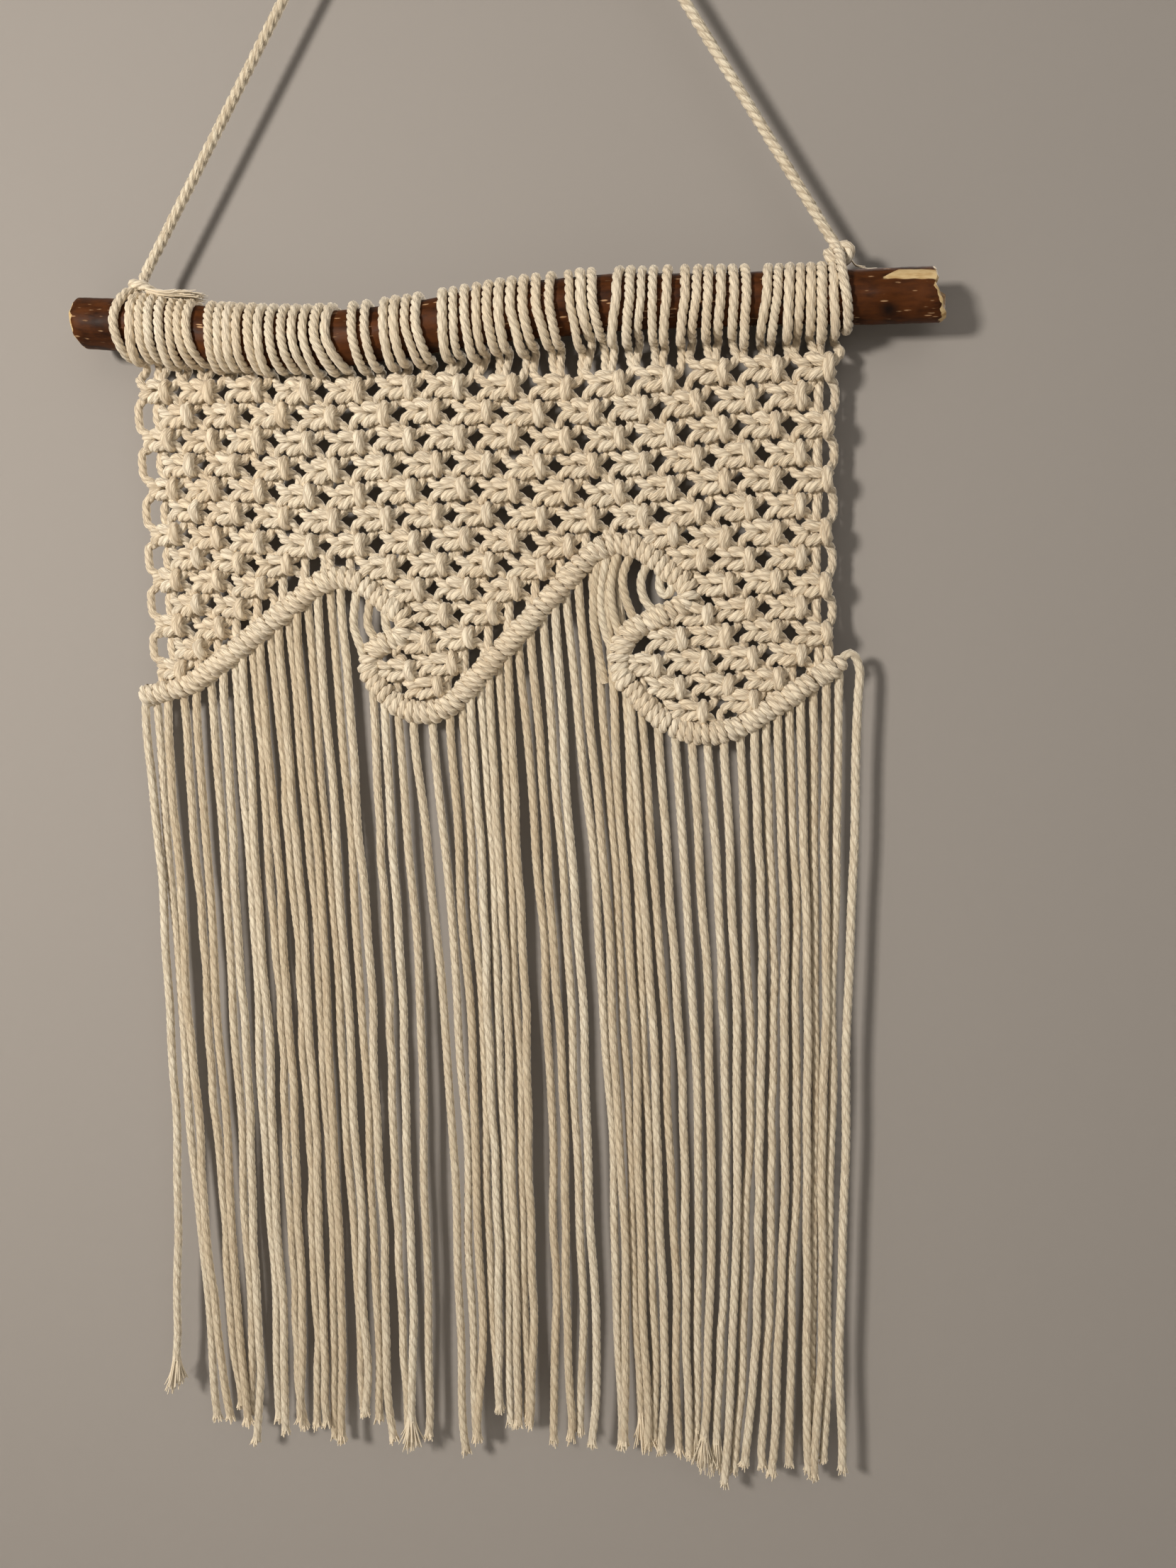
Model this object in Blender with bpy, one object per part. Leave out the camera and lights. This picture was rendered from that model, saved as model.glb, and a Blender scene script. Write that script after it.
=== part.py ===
"""Macrame wall hanging on a branch rod: one cord hanger, an S-bent branch, turns of cord round it,
a net of alternating square knots and a fringe below a hitched, waving bar.

Metres, +Z up, +X along the rod, front towards -Y. The origin is the middle of the hanger cord
where it lies over its nail. The tables below are in millimetres.
"""

import math
from collections import namedtuple

import bmesh
import bpy
import numpy as np

MM = 0.001

# ---- Driving dimensions, in millimetres ------------------------------------------------------
CORD = 3.0  # diameter of the three-strand cotton cord
PRESSED_CORD = 2.5  # how far the cord stands off the rod, pulled tight round it
GAP = 0.35  # between two pieces that touch
ROD_SIDES = 12
ROD_STEP = 16.0  # between two sections of the rod

RodStation = namedtuple("RodStation", "x z radius")
ROD_STATIONS = (
    RodStation(-137.0, -188.7, 8.2),
    RodStation(-110.0, -191.2, 8.5),
    RodStation(-93.0, -194.2, 8.7),
    RodStation(-78.0, -196.0, 8.7),
    RodStation(-45.0, -197.7, 8.6),
    RodStation(-14.0, -195.1, 8.2),
    RodStation(14.0, -192.2, 8.3),
    RodStation(41.0, -190.9, 8.3),
    RodStation(64.0, -191.1, 8.0),
    RodStation(89.0, -191.9, 7.8),
    RodStation(145.5, -193.4, 7.8),
)

# Runs of turns round the rod: the middle of the first turn and of the last one.
WrapRun = namedtuple("WrapRun", "first_x last_x turns")
WRAP_RUNS = (
    WrapRun(-112.0, -93.0, 7),
    WrapRun(-84.5, -46.0, 12),
    WrapRun(-37.0, -32.5, 2),
    WrapRun(-26.5, -16.0, 4),
    WrapRun(-7.5, 26.0, 10),
    WrapRun(32.0, 39.0, 3),
    WrapRun(47.0, 61.5, 5),
    WrapRun(67.0, 85.5, 6),
    WrapRun(92.0, 111.5, 7),
)

# The net: knots in row 1, then one fewer and one more by turns.
NET_Y = 3.0  # middle of the net, behind the rod's axis
NET_THICK = 6.4
KNOTS_WIDE = 14
NET_ROWS = 15
FIRST_ROW_Z = -210.3  # at either edge
ROW_SAG = 1.6  # how much lower the rows hang half-way along
NET_LEFT, NET_RIGHT = -116.5, 115.0  # outer edges at the first row
NET_DRAW_IN = 0.0135  # each edge moves in by this share of the depth below the first row
EDGE_TO_KNOT = 7.6  # from an edge to the middle of its first knot in an odd row
RowFall = namedtuple("RowFall", "pitch tighten")  # fall to row k: pitch * n - tighten * n * n
ROW_FALL_LEFT = RowFall(8.4, 0.055)
ROW_FALL_RIGHT = RowFall(8.6, 0.035)
HOLE_HALF = (2.1, 3.4)  # half width and half height of a diamond between knots
EDGE_GAP_HALF = (1.9, 4.9)  # of the slit inside a cord that floats along an edge
RIM = 1.3  # least net left between a hole and the net's outline
TOP_POINTS = 19  # along the net's top edge

# The hitched bar: a belt laid round these pegs, anticlockwise (+1) or clockwise (-1).
BAR_RADIUS = 3.7
BAR_SIDES = 8
BAR_START = (-121.0, -313.5)
BAR_END = (122.0, -299.5)
END_CORD_INSET = 1.7  # from either end of the bar to the middle of its last hanging cord
Peg = namedtuple("Peg", "x z radius turn")
FOOT_PEG = Peg(-113.0, -283.0, 28.0, 1)  # where the bar sweeps up into the first wave
Wave = namedtuple("Wave", "crest_x crest_z depth")  # depth: from the crest's peg to the hollow's foot
WAVES = (Wave(-48.0, -274.0, 30.0), Wave(45.5, -265.0, 46.0))
CREST_RADIUS = 15.0
CURL_REACH = 18.0  # from a crest's middle to the peg that the curl turns back on
CURL_RADIUS = 4.6
CURL_DROP = 1.0  # how far the curl's peg is below the crest's
BACK_LEAN = 0.32  # how far the back peg moves towards the crest, as a share of the depth
BACK_SHARE = 0.27  # of a wave's depth: the radius of the back peg
BACK_DROP = 0.48  # how far the back peg is below the crest's
HOLLOW_SHARE = 0.54  # the radius of the hollow's peg
HOLLOW_SHIFT = 0.35  # from the back peg to the hollow's, sideways
ARC_STEP = math.radians(18)
STRAIGHT_STEP = 14.0

# The fringe: groups of cords that hang together. x at the bar, half-way down and at the ends.
FringeGroup = namedtuple("FringeGroup", "cords top_x0 top_x1 mid_x0 mid_x1 end_x0 end_x1 end_z")
FRINGE = (
    FringeGroup(1, -119.5, -119.5, -115.0, -115.0, -118.5, -118.5, -567.0),
    FringeGroup(2, -115.5, -111.0, -111.5, -107.5, -105.0, -101.5, -580.0),
    FringeGroup(4, -105.5, -90.5, -101.5, -87.5, -97.0, -87.0, -578.0),
    FringeGroup(4, -86.5, -77.0, -83.0, -71.0, -81.0, -71.0, -581.0),
    FringeGroup(4, -73.5, -63.5, -67.0, -56.5, -66.5, -56.5, -582.0),
    FringeGroup(3, -60.0, -52.0, -53.0, -45.0, -49.5, -43.0, -574.0),
    FringeGroup(1, -48.0, -48.0, -40.5, -40.5, -39.5, -39.5, -580.0),
    FringeGroup(3, -38.2, -29.5, -35.5, -24.5, -34.0, -26.0, -583.0),
    FringeGroup(3, -24.0, -11.5, -14.5, -6.0, -13.0, -5.0, -582.0),
    FringeGroup(6, -7.5, 8.5, -2.5, 13.0, -1.5, 13.5, -572.0),
    FringeGroup(4, 12.0, 24.5, 20.5, 33.0, 20.5, 36.5, -577.0),
    FringeGroup(6, 28.0, 49.0, 40.5, 56.5, 43.5, 60.0, -578.0),
    FringeGroup(4, 52.5, 69.0, 60.5, 75.0, 64.0, 73.5, -580.0),
    FringeGroup(3, 74.0, 84.5, 80.0, 88.0, 77.0, 83.5, -585.0),
    FringeGroup(4, 89.0, 100.0, 92.0, 103.5, 88.0, 101.0, -582.0),
    FringeGroup(4, 103.5, 115.5, 107.0, 115.0, 107.0, 114.5, -581.0),
    FringeGroup(1, 120.5, 120.5, 118.5, 118.5, 118.5, 118.5, -579.0),
)
MID_Z = -441.0
LAYER_Y = 1.0  # neighbours hang this far in front of and behind the net's middle, by turns
FRINGE_SIDES = 6
FRINGE_POINTS = 4  # along the slack bend of each cord
CURL_CORDS = (2, 4)  # short cords between the crest and the bar that turns back, in each curl
CURL_CORD_INSET = 1.5  # from the back's leftmost point to the first of them

# The hanger.
NAIL_RADIUS = 3.0
LOOP_X = 116.5  # of both loops round the rod
LOOP_SIDES = 18
LOOP_RISE = 2.6  # how far a loop's top is drawn up into its knot
LOOP_SPREAD = 0.5  # in radians: half of the part that is drawn up
KNOT_HALF = (3.6, 3.6, 3.2)
HANGER_POINTS = 25  # along each side of the cord
NAIL_POINTS = 7  # over the nail
TAIL_RADIUS = 1.2
TAIL_Y = -1.0
TAIL_REACH, TAIL_POINTS = 17.0, 6  # from its knot along the turns

COTTON = ("natural_cotton", (0.78, 0.70, 0.57, 1.0), 0.9)
BARK = ("brown_bark", (0.20, 0.09, 0.05, 1.0), 0.5)


# ---- Plain geometry --------------------------------------------------------------------------
def smooth_through(points, count):
    """Read count points, evenly spaced in the parameter, from a smooth curve through points."""
    points = np.array(points, float)
    padded = np.vstack([2 * points[0] - points[1], points, 2 * points[-1] - points[-2]])
    read = []
    for t in np.linspace(0, len(points) - 1, count):
        i = min(int(t), len(points) - 2)
        a, b, c, d = padded[i : i + 4]
        u = t - i
        read.append(
            0.5 * (2 * b + (c - a) * u + (2 * a - 5 * b + 4 * c - d) * u**2)
            + 0.5 * (3 * b - a - 3 * c + d) * u**3
        )
    return np.array(read)


def ring(middle, axis_u, axis_v, radius, sides):
    """The corners of a regular polygon round middle."""
    turns = np.arange(sides) * 2 * math.pi / sides
    return [middle + radius * (math.cos(a) * axis_u + math.sin(a) * axis_v) for a in turns]


def skin(bm, rings, closed=False):
    """Join rings of equal size into a tube, with end caps unless the tube closes on itself."""
    loops = [[bm.verts.new(p * MM) for p in corners] for corners in rings]
    following = loops[1:] + loops[:1] if closed else loops[1:]
    for a, b in zip(loops, following):
        for i in range(len(a)):
            j = (i + 1) % len(a)
            bm.faces.new((a[i], a[j], b[j], b[i]))
    if not closed:
        bm.faces.new(loops[0][::-1])
        bm.faces.new(loops[-1])


def tube_along(bm, route, radius, sides, closed=False):
    """Skin a tube of one radius along route, whose points lie near a plane of constant x or y."""
    route = np.array(route, float)
    if closed:
        ahead, behind = np.roll(route, -1, axis=0), np.roll(route, 1, axis=0)
        along = ahead - behind
    else:
        along = np.gradient(route, axis=0)
    spread = np.ptp(route, axis=0)
    flat = np.array([1.0, 0, 0]) if spread[0] < spread[1] else np.array([0, 1.0, 0])
    rings = []
    for point, tangent in zip(route, along):
        tangent = tangent / np.linalg.norm(tangent)
        side = np.cross(tangent, flat)
        side /= np.linalg.norm(side)
        rings.append(ring(point, side, np.cross(tangent, side), radius, sides))
    skin(bm, rings, closed)


def material(name, colour, roughness):
    """A Principled material, made once."""
    made = bpy.data.materials.get(name) or bpy.data.materials.new(name)
    made.use_nodes = True
    shader = made.node_tree.nodes["Principled BSDF"]
    shader.inputs["Base Color"].default_value = colour
    shader.inputs["Roughness"].default_value = roughness
    return made


def object_from(name, bm, finish):
    """Turn a bmesh into a named, shaded object with its own material."""
    bmesh.ops.recalc_face_normals(bm, faces=bm.faces)
    mesh = bpy.data.meshes.new(name)
    bm.to_mesh(mesh)
    bm.free()
    mesh.shade_smooth()
    mesh.set_sharp_from_angle(angle=math.radians(40))
    obj = bpy.data.objects.new(name, mesh)
    bpy.context.collection.objects.link(obj)
    mesh.materials.append(material(f"{finish[0]}_{name}", *finish[1:]))
    return obj


def unite(obj, other):
    """Join other into obj with a Boolean, and keep other as a hidden guide."""
    other.hide_render = True
    other.display_type = "WIRE"
    join = obj.modifiers.new("join", "BOOLEAN")
    join.operation = "UNION"
    join.solver = "EXACT"
    join.use_self = True
    join.object = other


# ---- Rod and what goes round it --------------------------------------------------------------
def rod_sections():
    """The rod's sections as x, z and radius, on one smooth curve."""
    length = ROD_STATIONS[-1].x - ROD_STATIONS[0].x
    return smooth_through(ROD_STATIONS, round(length / ROD_STEP) + 1)


SECTIONS = rod_sections()


def rod_at(x):
    """The middle height and radius of the rod at x."""
    return (np.interp(x, SECTIONS[:, 0], SECTIONS[:, k]) for k in (1, 2))


def rod_ring(x, outside):
    """A ring in the plane of x, outside millimetres clear of the rod."""
    z, radius = rod_at(x)
    across, up = np.array([0, 1.0, 0]), np.array([0, 0, 1.0])
    return ring(np.array([x, 0, z]), across, up, radius + outside, ROD_SIDES)


def make_rod():
    bm = bmesh.new()
    skin(bm, [rod_ring(x, 0) for x in SECTIONS[:, 0]])
    return object_from("rod", bm, BARK)


def make_wraps(number, run):
    """One run of turns as a sleeve, which bends where the rod does."""
    start, end = run.first_x - CORD / 2, run.last_x + CORD / 2
    between = [x for x in SECTIONS[:, 0] if start + 1 < x < end - 1]
    outer = [rod_ring(x, GAP + PRESSED_CORD) for x in (start, *between, end)]
    inner = [rod_ring(x, GAP) for x in (end, *between[::-1], start)]
    bm = bmesh.new()
    skin(bm, outer + inner, closed=True)
    return object_from(f"mounting_wraps_{number}", bm, COTTON)


# ---- The hitched bar's line ------------------------------------------------------------------
def wave_pegs(wave):
    """The four pegs of one curling wave: its crest, curl, back and hollow."""
    depth, middle_z = wave.depth, wave.crest_z - CREST_RADIUS
    back_x = wave.crest_x + 1.5 * CURL_REACH - BACK_LEAN * depth
    hollow_z = middle_z - (1 - HOLLOW_SHARE) * depth
    return (
        Peg(wave.crest_x, middle_z, CREST_RADIUS, -1),
        Peg(wave.crest_x + CURL_REACH, middle_z - CURL_DROP, CURL_RADIUS, -1),
        Peg(back_x, middle_z - BACK_DROP * depth, BACK_SHARE * depth, 1),
        Peg(back_x + HOLLOW_SHIFT * depth, hollow_z, HOLLOW_SHARE * depth, 1),
    )


def tangent_heading(a, b):
    """The heading of the straight run from peg a to peg b, each left and met along its rim."""
    dx, dz = b.x - a.x, b.z - a.z
    side = a.turn * a.radius - b.turn * b.radius
    return math.atan2(dz, dx) + math.asin(side / math.hypot(dx, dz))


def rim_point(peg, heading):
    """The point of a peg's rim where the belt runs along heading."""
    return (
        peg.x + peg.turn * peg.radius * math.sin(heading),
        peg.z - peg.turn * peg.radius * math.cos(heading),
    )


def belt(pegs):
    """The belt round pegs as points, with its heading at each."""
    headings = [tangent_heading(a, b) for a, b in zip(pegs, pegs[1:])]
    points = [(*rim_point(pegs[0], headings[0]), headings[0])]
    for k in range(1, len(pegs)):
        arrive = headings[k - 1]
        x, z = rim_point(pegs[k], arrive)
        x0, z0, _ = points[-1]
        pieces = max(1, round(math.hypot(x - x0, z - z0) / STRAIGHT_STEP))
        for i in range(1, pieces + 1):
            share = i / pieces
            points.append((x0 + share * (x - x0), z0 + share * (z - z0), arrive))
        if k == len(pegs) - 1:
            break
        turn = (headings[k] - arrive) % (2 * math.pi)
        if pegs[k].turn < 0:
            turn -= 2 * math.pi
        steps = max(1, round(abs(turn) / ARC_STEP))
        for i in range(1, steps + 1):
            heading = arrive + turn * i / steps
            points.append((*rim_point(pegs[k], heading), heading))
    return np.array(points)


def bar_line():
    """The hitched bar's centreline as x, z and heading."""
    pegs = [Peg(*BAR_START, 0, 1), FOOT_PEG]
    for wave in WAVES:
        pegs += wave_pegs(wave)
    return belt([*pegs, Peg(*BAR_END, 0, 1)])


BAR = bar_line()


def heights_at(line, x):
    """Where a line of (x, z) points crosses x, from the highest to the lowest."""
    found = []
    for (x0, z0), (x1, z1) in zip(line, line[1:]):
        if min(x0, x1) <= x < max(x0, x1):
            found.append(z0 + (z1 - z0) * (x - x0) / (x1 - x0))
    return sorted(found, reverse=True)


# ---- The net ---------------------------------------------------------------------------------
def net_edges(z):
    """The net's left and right edges at height z."""
    drawn = NET_DRAW_IN * (FIRST_ROW_Z - z)
    return NET_LEFT + 2 * drawn, NET_RIGHT - 2 * drawn


def knot_place(row, column):
    """The middle of a knot. A column may lie half-way between two knots, for a hole."""
    n = row - 1
    even = (row % 2) == 0
    share = (column + (0.5 if even else 0)) / (KNOTS_WIDE - 1)
    falls = [f.pitch * n - f.tighten * n * n for f in (ROW_FALL_LEFT, ROW_FALL_RIGHT)]
    sag = ROW_SAG * math.sin(math.pi * min(max(share, 0), 1))
    z = FIRST_ROW_Z - sag - (falls[0] + share * (falls[1] - falls[0]))
    left, right = (edge + side for edge, side in zip(net_edges(z), (EDGE_TO_KNOT, -EDGE_TO_KNOT)))
    return left + share * (right - left), z


def net_top(x):
    """The net's top edge at x, just below the turns on the rod."""
    z, radius = rod_at(x)
    return z - radius - (GAP + CORD + GAP)


def net_outline():
    """The net's outline: its top follows the turns on the rod, and its foot the hitched bar."""
    top = [(x, net_top(x)) for x in np.linspace(NET_LEFT, NET_RIGHT, TOP_POINTS)]
    away = BAR_RADIUS + GAP
    beside = [(x - away * math.sin(h), z + away * math.cos(h)) for x, z, h in BAR]
    foot = [(x, z) for x, z in beside if net_edges(z)[0] < x < net_edges(z)[1]]
    left, right = net_edges(foot[0][1])[0], net_edges(foot[-1][1])[1]
    foot = [(left, heights_at(beside, left)[0]), *foot, (right, heights_at(beside, right)[0])]
    return np.array(top[::-1] + foot)


def room_inside(outline, x, z):
    """How far (x, z) is inside the outline, or a negative number outside it."""
    a, b = outline, np.roll(outline, -1, axis=0)
    run, point = b - a, np.array([x, z])
    share = np.clip(((point - a) * run).sum(axis=1) / (run**2).sum(axis=1), 0, 1)
    away = np.linalg.norm(a + share[:, None] * run - point, axis=1).min()
    crosses = (a[:, 1] > z) != (b[:, 1] > z)
    with np.errstate(divide="ignore", invalid="ignore"):
        at = a[:, 0] + (z - a[:, 1]) * run[:, 0] / run[:, 1]
    return away if (crosses & (x < at)).sum() % 2 else -away


def net_holes(outline):
    """The diamonds between the knots of each row, and the slits along both edges."""
    wanted = []
    for row in range(1, NET_ROWS + 1):
        even = row % 2 == 0
        knots = KNOTS_WIDE - even
        wanted += [(*knot_place(row, c + 0.5), *HOLE_HALF) for c in range(knots - 1)]
        if even:
            z = knot_place(row, 0)[1]
            left, right = net_edges(z)
            inset = CORD + EDGE_GAP_HALF[0]
            wanted += [(left + inset, z, *EDGE_GAP_HALF), (right - inset, z, *EDGE_GAP_HALF)]
    holes = []
    for x, z, half_x, half_z in wanted:
        tip = min(z + half_z, net_top(x) - 1.1 * RIM)
        corners = [(x - half_x, z), (x, z - half_z), (x + half_x, z), (x, tip)]
        if min(room_inside(outline, *c) for c in corners) > RIM:
            holes.append(corners)
    return holes


def make_net():
    """The net as a flat curve with its holes as inner outlines, extruded to the knots' depth."""
    outline = net_outline()
    shape = bpy.data.curves.new("knotted_panel", "CURVE")
    shape.dimensions = "2D"
    shape.fill_mode = "BOTH"
    shape.extrude = NET_THICK / 2 * MM
    for corners in (outline, *net_holes(outline)):
        spline = shape.splines.new("POLY")
        spline.points.add(len(corners) - 1)
        for point, (x, z) in zip(spline.points, corners):
            point.co = (x * MM, z * MM, 0, 1)
        spline.use_cyclic_u = True
    obj = bpy.data.objects.new("knotted_panel", shape)
    bpy.context.collection.objects.link(obj)
    obj.rotation_euler = (math.pi / 2, 0, 0)
    obj.location = (0, NET_Y * MM, 0)
    shape.materials.append(material(f"{COTTON[0]}_knotted_panel", *COTTON[1:]))
    return obj


# ---- The fringe ------------------------------------------------------------------------------
def fringe_route(top_x, mid_x, end_x, end_z, y):
    """One hanging cord: straight out of the bar's underside, then down in one slack bend."""
    bar_x = min(max(top_x, BAR_START[0] + END_CORD_INSET), BAR_END[0] - END_CORD_INSET)
    bar_z = heights_at(BAR[:, :2], bar_x)[-1]
    below = (bar_x, y, bar_z - 2 * BAR_RADIUS)
    hanging = smooth_through([below, (mid_x, y, MID_Z), (end_x, y, end_z)], FRINGE_POINTS)
    return [(bar_x, y, bar_z), *hanging]


def fringe_cords():
    """The routes of all the hanging cords, from left to right."""
    routes = []
    for group in FRINGE:
        for share in np.linspace(0, 1, group.cords) if group.cords > 1 else (0,):
            y = NET_Y + (LAYER_Y if len(routes) % 2 else -LAYER_Y)
            x = [
                a + share * (b - a)
                for a, b in (
                    (group.top_x0, group.top_x1),
                    (group.mid_x0, group.mid_x1),
                    (group.end_x0, group.end_x1),
                )
            ]
            routes.append(fringe_route(*x, group.end_z, y))
    return routes


def curl_cords():
    """The short cords inside each curl, from the crest to the bar where it turns back."""
    routes = []
    for wave, count in zip(WAVES, CURL_CORDS):
        crest, curl, back, _ = wave_pegs(wave)
        first, last = back.x - back.radius + CURL_CORD_INSET, curl.x - CURL_RADIUS / 2
        for x in np.linspace(first, last, count + 1)[:-1]:
            heights = heights_at(BAR[:, :2], x)
            if len(heights) > 2:
                routes.append([(x, NET_Y, heights[0]), (x, NET_Y, heights[1])])
    return routes


def make_bar_and_fringe():
    """The hitched bar as a tube, with the fringe's comb and the curls' cords joined to it."""
    bm = bmesh.new()
    tube_along(bm, [(x, NET_Y, z) for x, z, _ in BAR], BAR_RADIUS, BAR_SIDES)
    bar = object_from("hitched_bar_fringe", bm, COTTON)
    bm = bmesh.new()
    for route in fringe_cords() + curl_cords():
        tube_along(bm, route, CORD / 2, FRINGE_SIDES)
    unite(bar, object_from("fringe_comb_guide", bm, COTTON))
    return bar


# ---- The hanger ------------------------------------------------------------------------------
def knot_middle(side):
    """The middle of a hanger knot, on top of its loop and clear of the turns beside it."""
    z, radius = rod_at(side * LOOP_X)
    return np.array([side * LOOP_X, 0, z + radius + GAP + CORD + LOOP_RISE])


def make_hanger_knot(name, side):
    """A loop round the rod, drawn up into a knot on top."""
    z, radius = rod_at(side * LOOP_X)
    reach = (radius + GAP + CORD / 2) / math.cos(math.pi / LOOP_SIDES)
    route = []
    for k in range(LOOP_SIDES):
        turn = 2 * math.pi * k / LOOP_SIDES - math.pi
        out = reach + LOOP_RISE * math.exp(-((turn / LOOP_SPREAD) ** 2))
        route.append((side * LOOP_X, out * math.sin(turn), z + out * math.cos(turn)))
    bm = bmesh.new()
    tube_along(bm, route, CORD / 2, FRINGE_SIDES, closed=True)
    loop = object_from(name, bm, COTTON)
    bm = bmesh.new()
    bmesh.ops.create_icosphere(bm, subdivisions=2, radius=1.0)
    middle = knot_middle(side)
    for vert in bm.verts:
        vert.co = [(c * h + m) * MM for c, h, m in zip(vert.co, KNOT_HALF, middle)]
    unite(loop, object_from(name + "_guide", bm, COTTON))
    return loop


def hanger_side(side):
    """One side of the hanger cord, from its knot up to the nail, and the angle it leaves at."""
    over = NAIL_RADIUS + CORD / 2
    foot = knot_middle(side)
    run, rise = abs(foot[0]), -over - foot[2]
    lean = math.atan2(rise, run) + math.asin(over / math.hypot(run, rise))
    leave = math.pi / 2 - lean
    lift = KNOT_HALF[2] + GAP
    start = foot + np.array([-side * lift / math.tan(lean), 0, lift])
    top = np.array([side * over * math.sin(leave), 0, over * math.cos(leave) - over])
    return [start + share * (top - start) for share in np.linspace(0, 1, HANGER_POINTS)], leave


def hanger_route():
    """The hanger cord's line: up from one knot, over the nail and down to the other."""
    over = NAIL_RADIUS + CORD / 2
    right, leave_right = hanger_side(1)
    left, leave_left = hanger_side(-1)
    arc = [
        np.array([over * math.sin(a), 0, over * math.cos(a) - over])
        for a in np.linspace(leave_right, -leave_left, NAIL_POINTS)[1:-1]
    ]
    return right + arc + left[::-1]


def cord_object(name, route, radius):
    """A cord as a poly curve with a round bevel and filled caps."""
    shape = bpy.data.curves.new(name, "CURVE")
    shape.dimensions = "3D"
    shape.bevel_depth = radius * MM
    shape.bevel_resolution = 2
    shape.use_fill_caps = True
    spline = shape.splines.new("POLY")
    spline.points.add(len(route) - 1)
    for point, place in zip(spline.points, route):
        point.co = (*(place * MM), 1)
    obj = bpy.data.objects.new(name, shape)
    bpy.context.collection.objects.link(obj)
    shape.materials.append(material(f"{COTTON[0]}_{name}", *COTTON[1:]))
    return obj


def make_hanger_tail():
    """The left knot's short tail, which lies along the tops of the first turns."""
    knot = knot_middle(-1)
    first_x = knot[0] + KNOT_HALF[0] + GAP
    route = [np.array([first_x, TAIL_Y, knot[2]])]
    for x in np.linspace(first_x, knot[0] + TAIL_REACH, TAIL_POINTS)[1:]:
        z, radius = rod_at(x)
        route.append(np.array([x, TAIL_Y, z + radius + GAP + PRESSED_CORD + GAP + TAIL_RADIUS]))
    return cord_object("hanger_tail", route, TAIL_RADIUS)


# ---- Build -----------------------------------------------------------------------------------
def main():
    for obj in list(bpy.data.objects):
        bpy.data.objects.remove(obj, do_unlink=True)
    make_rod()
    for number, run in enumerate(WRAP_RUNS, 1):
        make_wraps(number, run)
    make_net()
    make_bar_and_fringe()
    cord_object("hanger_cord", hanger_route(), CORD / 2)
    make_hanger_knot("hanger_knot_left", -1)
    make_hanger_knot("hanger_knot_right", 1)
    make_hanger_tail()


main()
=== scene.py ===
"""Macrame wall hanging on a branch rod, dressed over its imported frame.

Sizes are in millimetres until a mesh is made: x along the rod, z up, and the front towards -y, with
the origin where the hanger cord lies over its nail. The frame itself is in metres.
"""

import logging
import math
from dataclasses import dataclass, field
from enum import Enum
from typing import NamedTuple

import bpy
import numpy as np
from mathutils import Matrix, Vector


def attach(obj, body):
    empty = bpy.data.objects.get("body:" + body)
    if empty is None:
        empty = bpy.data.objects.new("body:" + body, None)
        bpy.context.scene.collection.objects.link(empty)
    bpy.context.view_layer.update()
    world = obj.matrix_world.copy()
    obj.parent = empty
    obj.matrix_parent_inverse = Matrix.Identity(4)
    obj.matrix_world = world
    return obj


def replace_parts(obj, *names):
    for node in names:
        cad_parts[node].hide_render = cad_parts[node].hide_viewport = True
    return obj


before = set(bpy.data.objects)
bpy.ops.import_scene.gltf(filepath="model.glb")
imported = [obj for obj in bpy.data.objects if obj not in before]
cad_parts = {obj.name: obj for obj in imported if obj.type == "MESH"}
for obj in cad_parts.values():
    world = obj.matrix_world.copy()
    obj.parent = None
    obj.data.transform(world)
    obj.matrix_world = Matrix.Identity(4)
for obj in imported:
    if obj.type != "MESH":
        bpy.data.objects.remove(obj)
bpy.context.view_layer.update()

log = logging.getLogger("hanging")
Colour = tuple[float, float, float]
Socket = bpy.types.NodeSocket

MM = 0.001
TURN = 2 * math.pi
BODY = "root"
NET_Y = 3.0  # the middle of the net, behind the rod's axis


class Lay(Enum):
    """Which way a rope's strands run round it."""

    S = -1
    Z = 1


class End(Enum):
    """How a hanging cord ends."""

    BRUSH = "brush"
    TASSEL = "tassel"


# ---- Lines -----------------------------------------------------------------------------------
def smooth_line(points: np.ndarray, step: float) -> tuple[np.ndarray, np.ndarray]:
    """Draw a smooth curve through points and read it at even steps.

    Args:
        points: One row each, x, y, z and then any values that go along.
        step: The distance between two readings.

    Returns:
        The readings, and the distance along the curve at each of the points.
    """
    gaps = np.linalg.norm(np.diff(points[:, :3], axis=0), axis=1)
    knots = np.concatenate([[0], np.cumsum(np.sqrt(np.maximum(gaps, 1e-6)))])
    slopes = np.diff(points, axis=0) / np.diff(knots)[:, None]
    tangents = np.empty_like(points)
    tangents[0], tangents[-1] = slopes[0], slopes[-1]
    before, after = np.diff(knots)[:-1, None], np.diff(knots)[1:, None]
    tangents[1:-1] = (slopes[:-1] * after + slopes[1:] * before) / (before + after)
    fine, places = [points[:1]], [0]
    for i, gap in enumerate(gaps):
        count = max(2, math.ceil(gap / step * 1.5))
        u = np.linspace(0, 1, count + 1)[1:, None]
        width = knots[i + 1] - knots[i]
        fine.append(
            (2 * u**3 - 3 * u**2 + 1) * points[i]
            + (u**3 - 2 * u**2 + u) * width * tangents[i]
            + (3 * u**2 - 2 * u**3) * points[i + 1]
            + (u**3 - u**2) * width * tangents[i + 1]
        )
        places.append(places[-1] + count)
    line = np.vstack(fine)
    along = distances(line[:, :3])
    even = np.linspace(0, along[-1], max(2, round(along[-1] / step)) + 1)
    return np.stack([np.interp(even, along, values) for values in line.T], 1), along[places]


def distances(line: np.ndarray) -> np.ndarray:
    """The distance along a line at each of its points."""
    return np.concatenate([[0], np.cumsum(np.linalg.norm(np.diff(line, axis=0), axis=1))])


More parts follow.
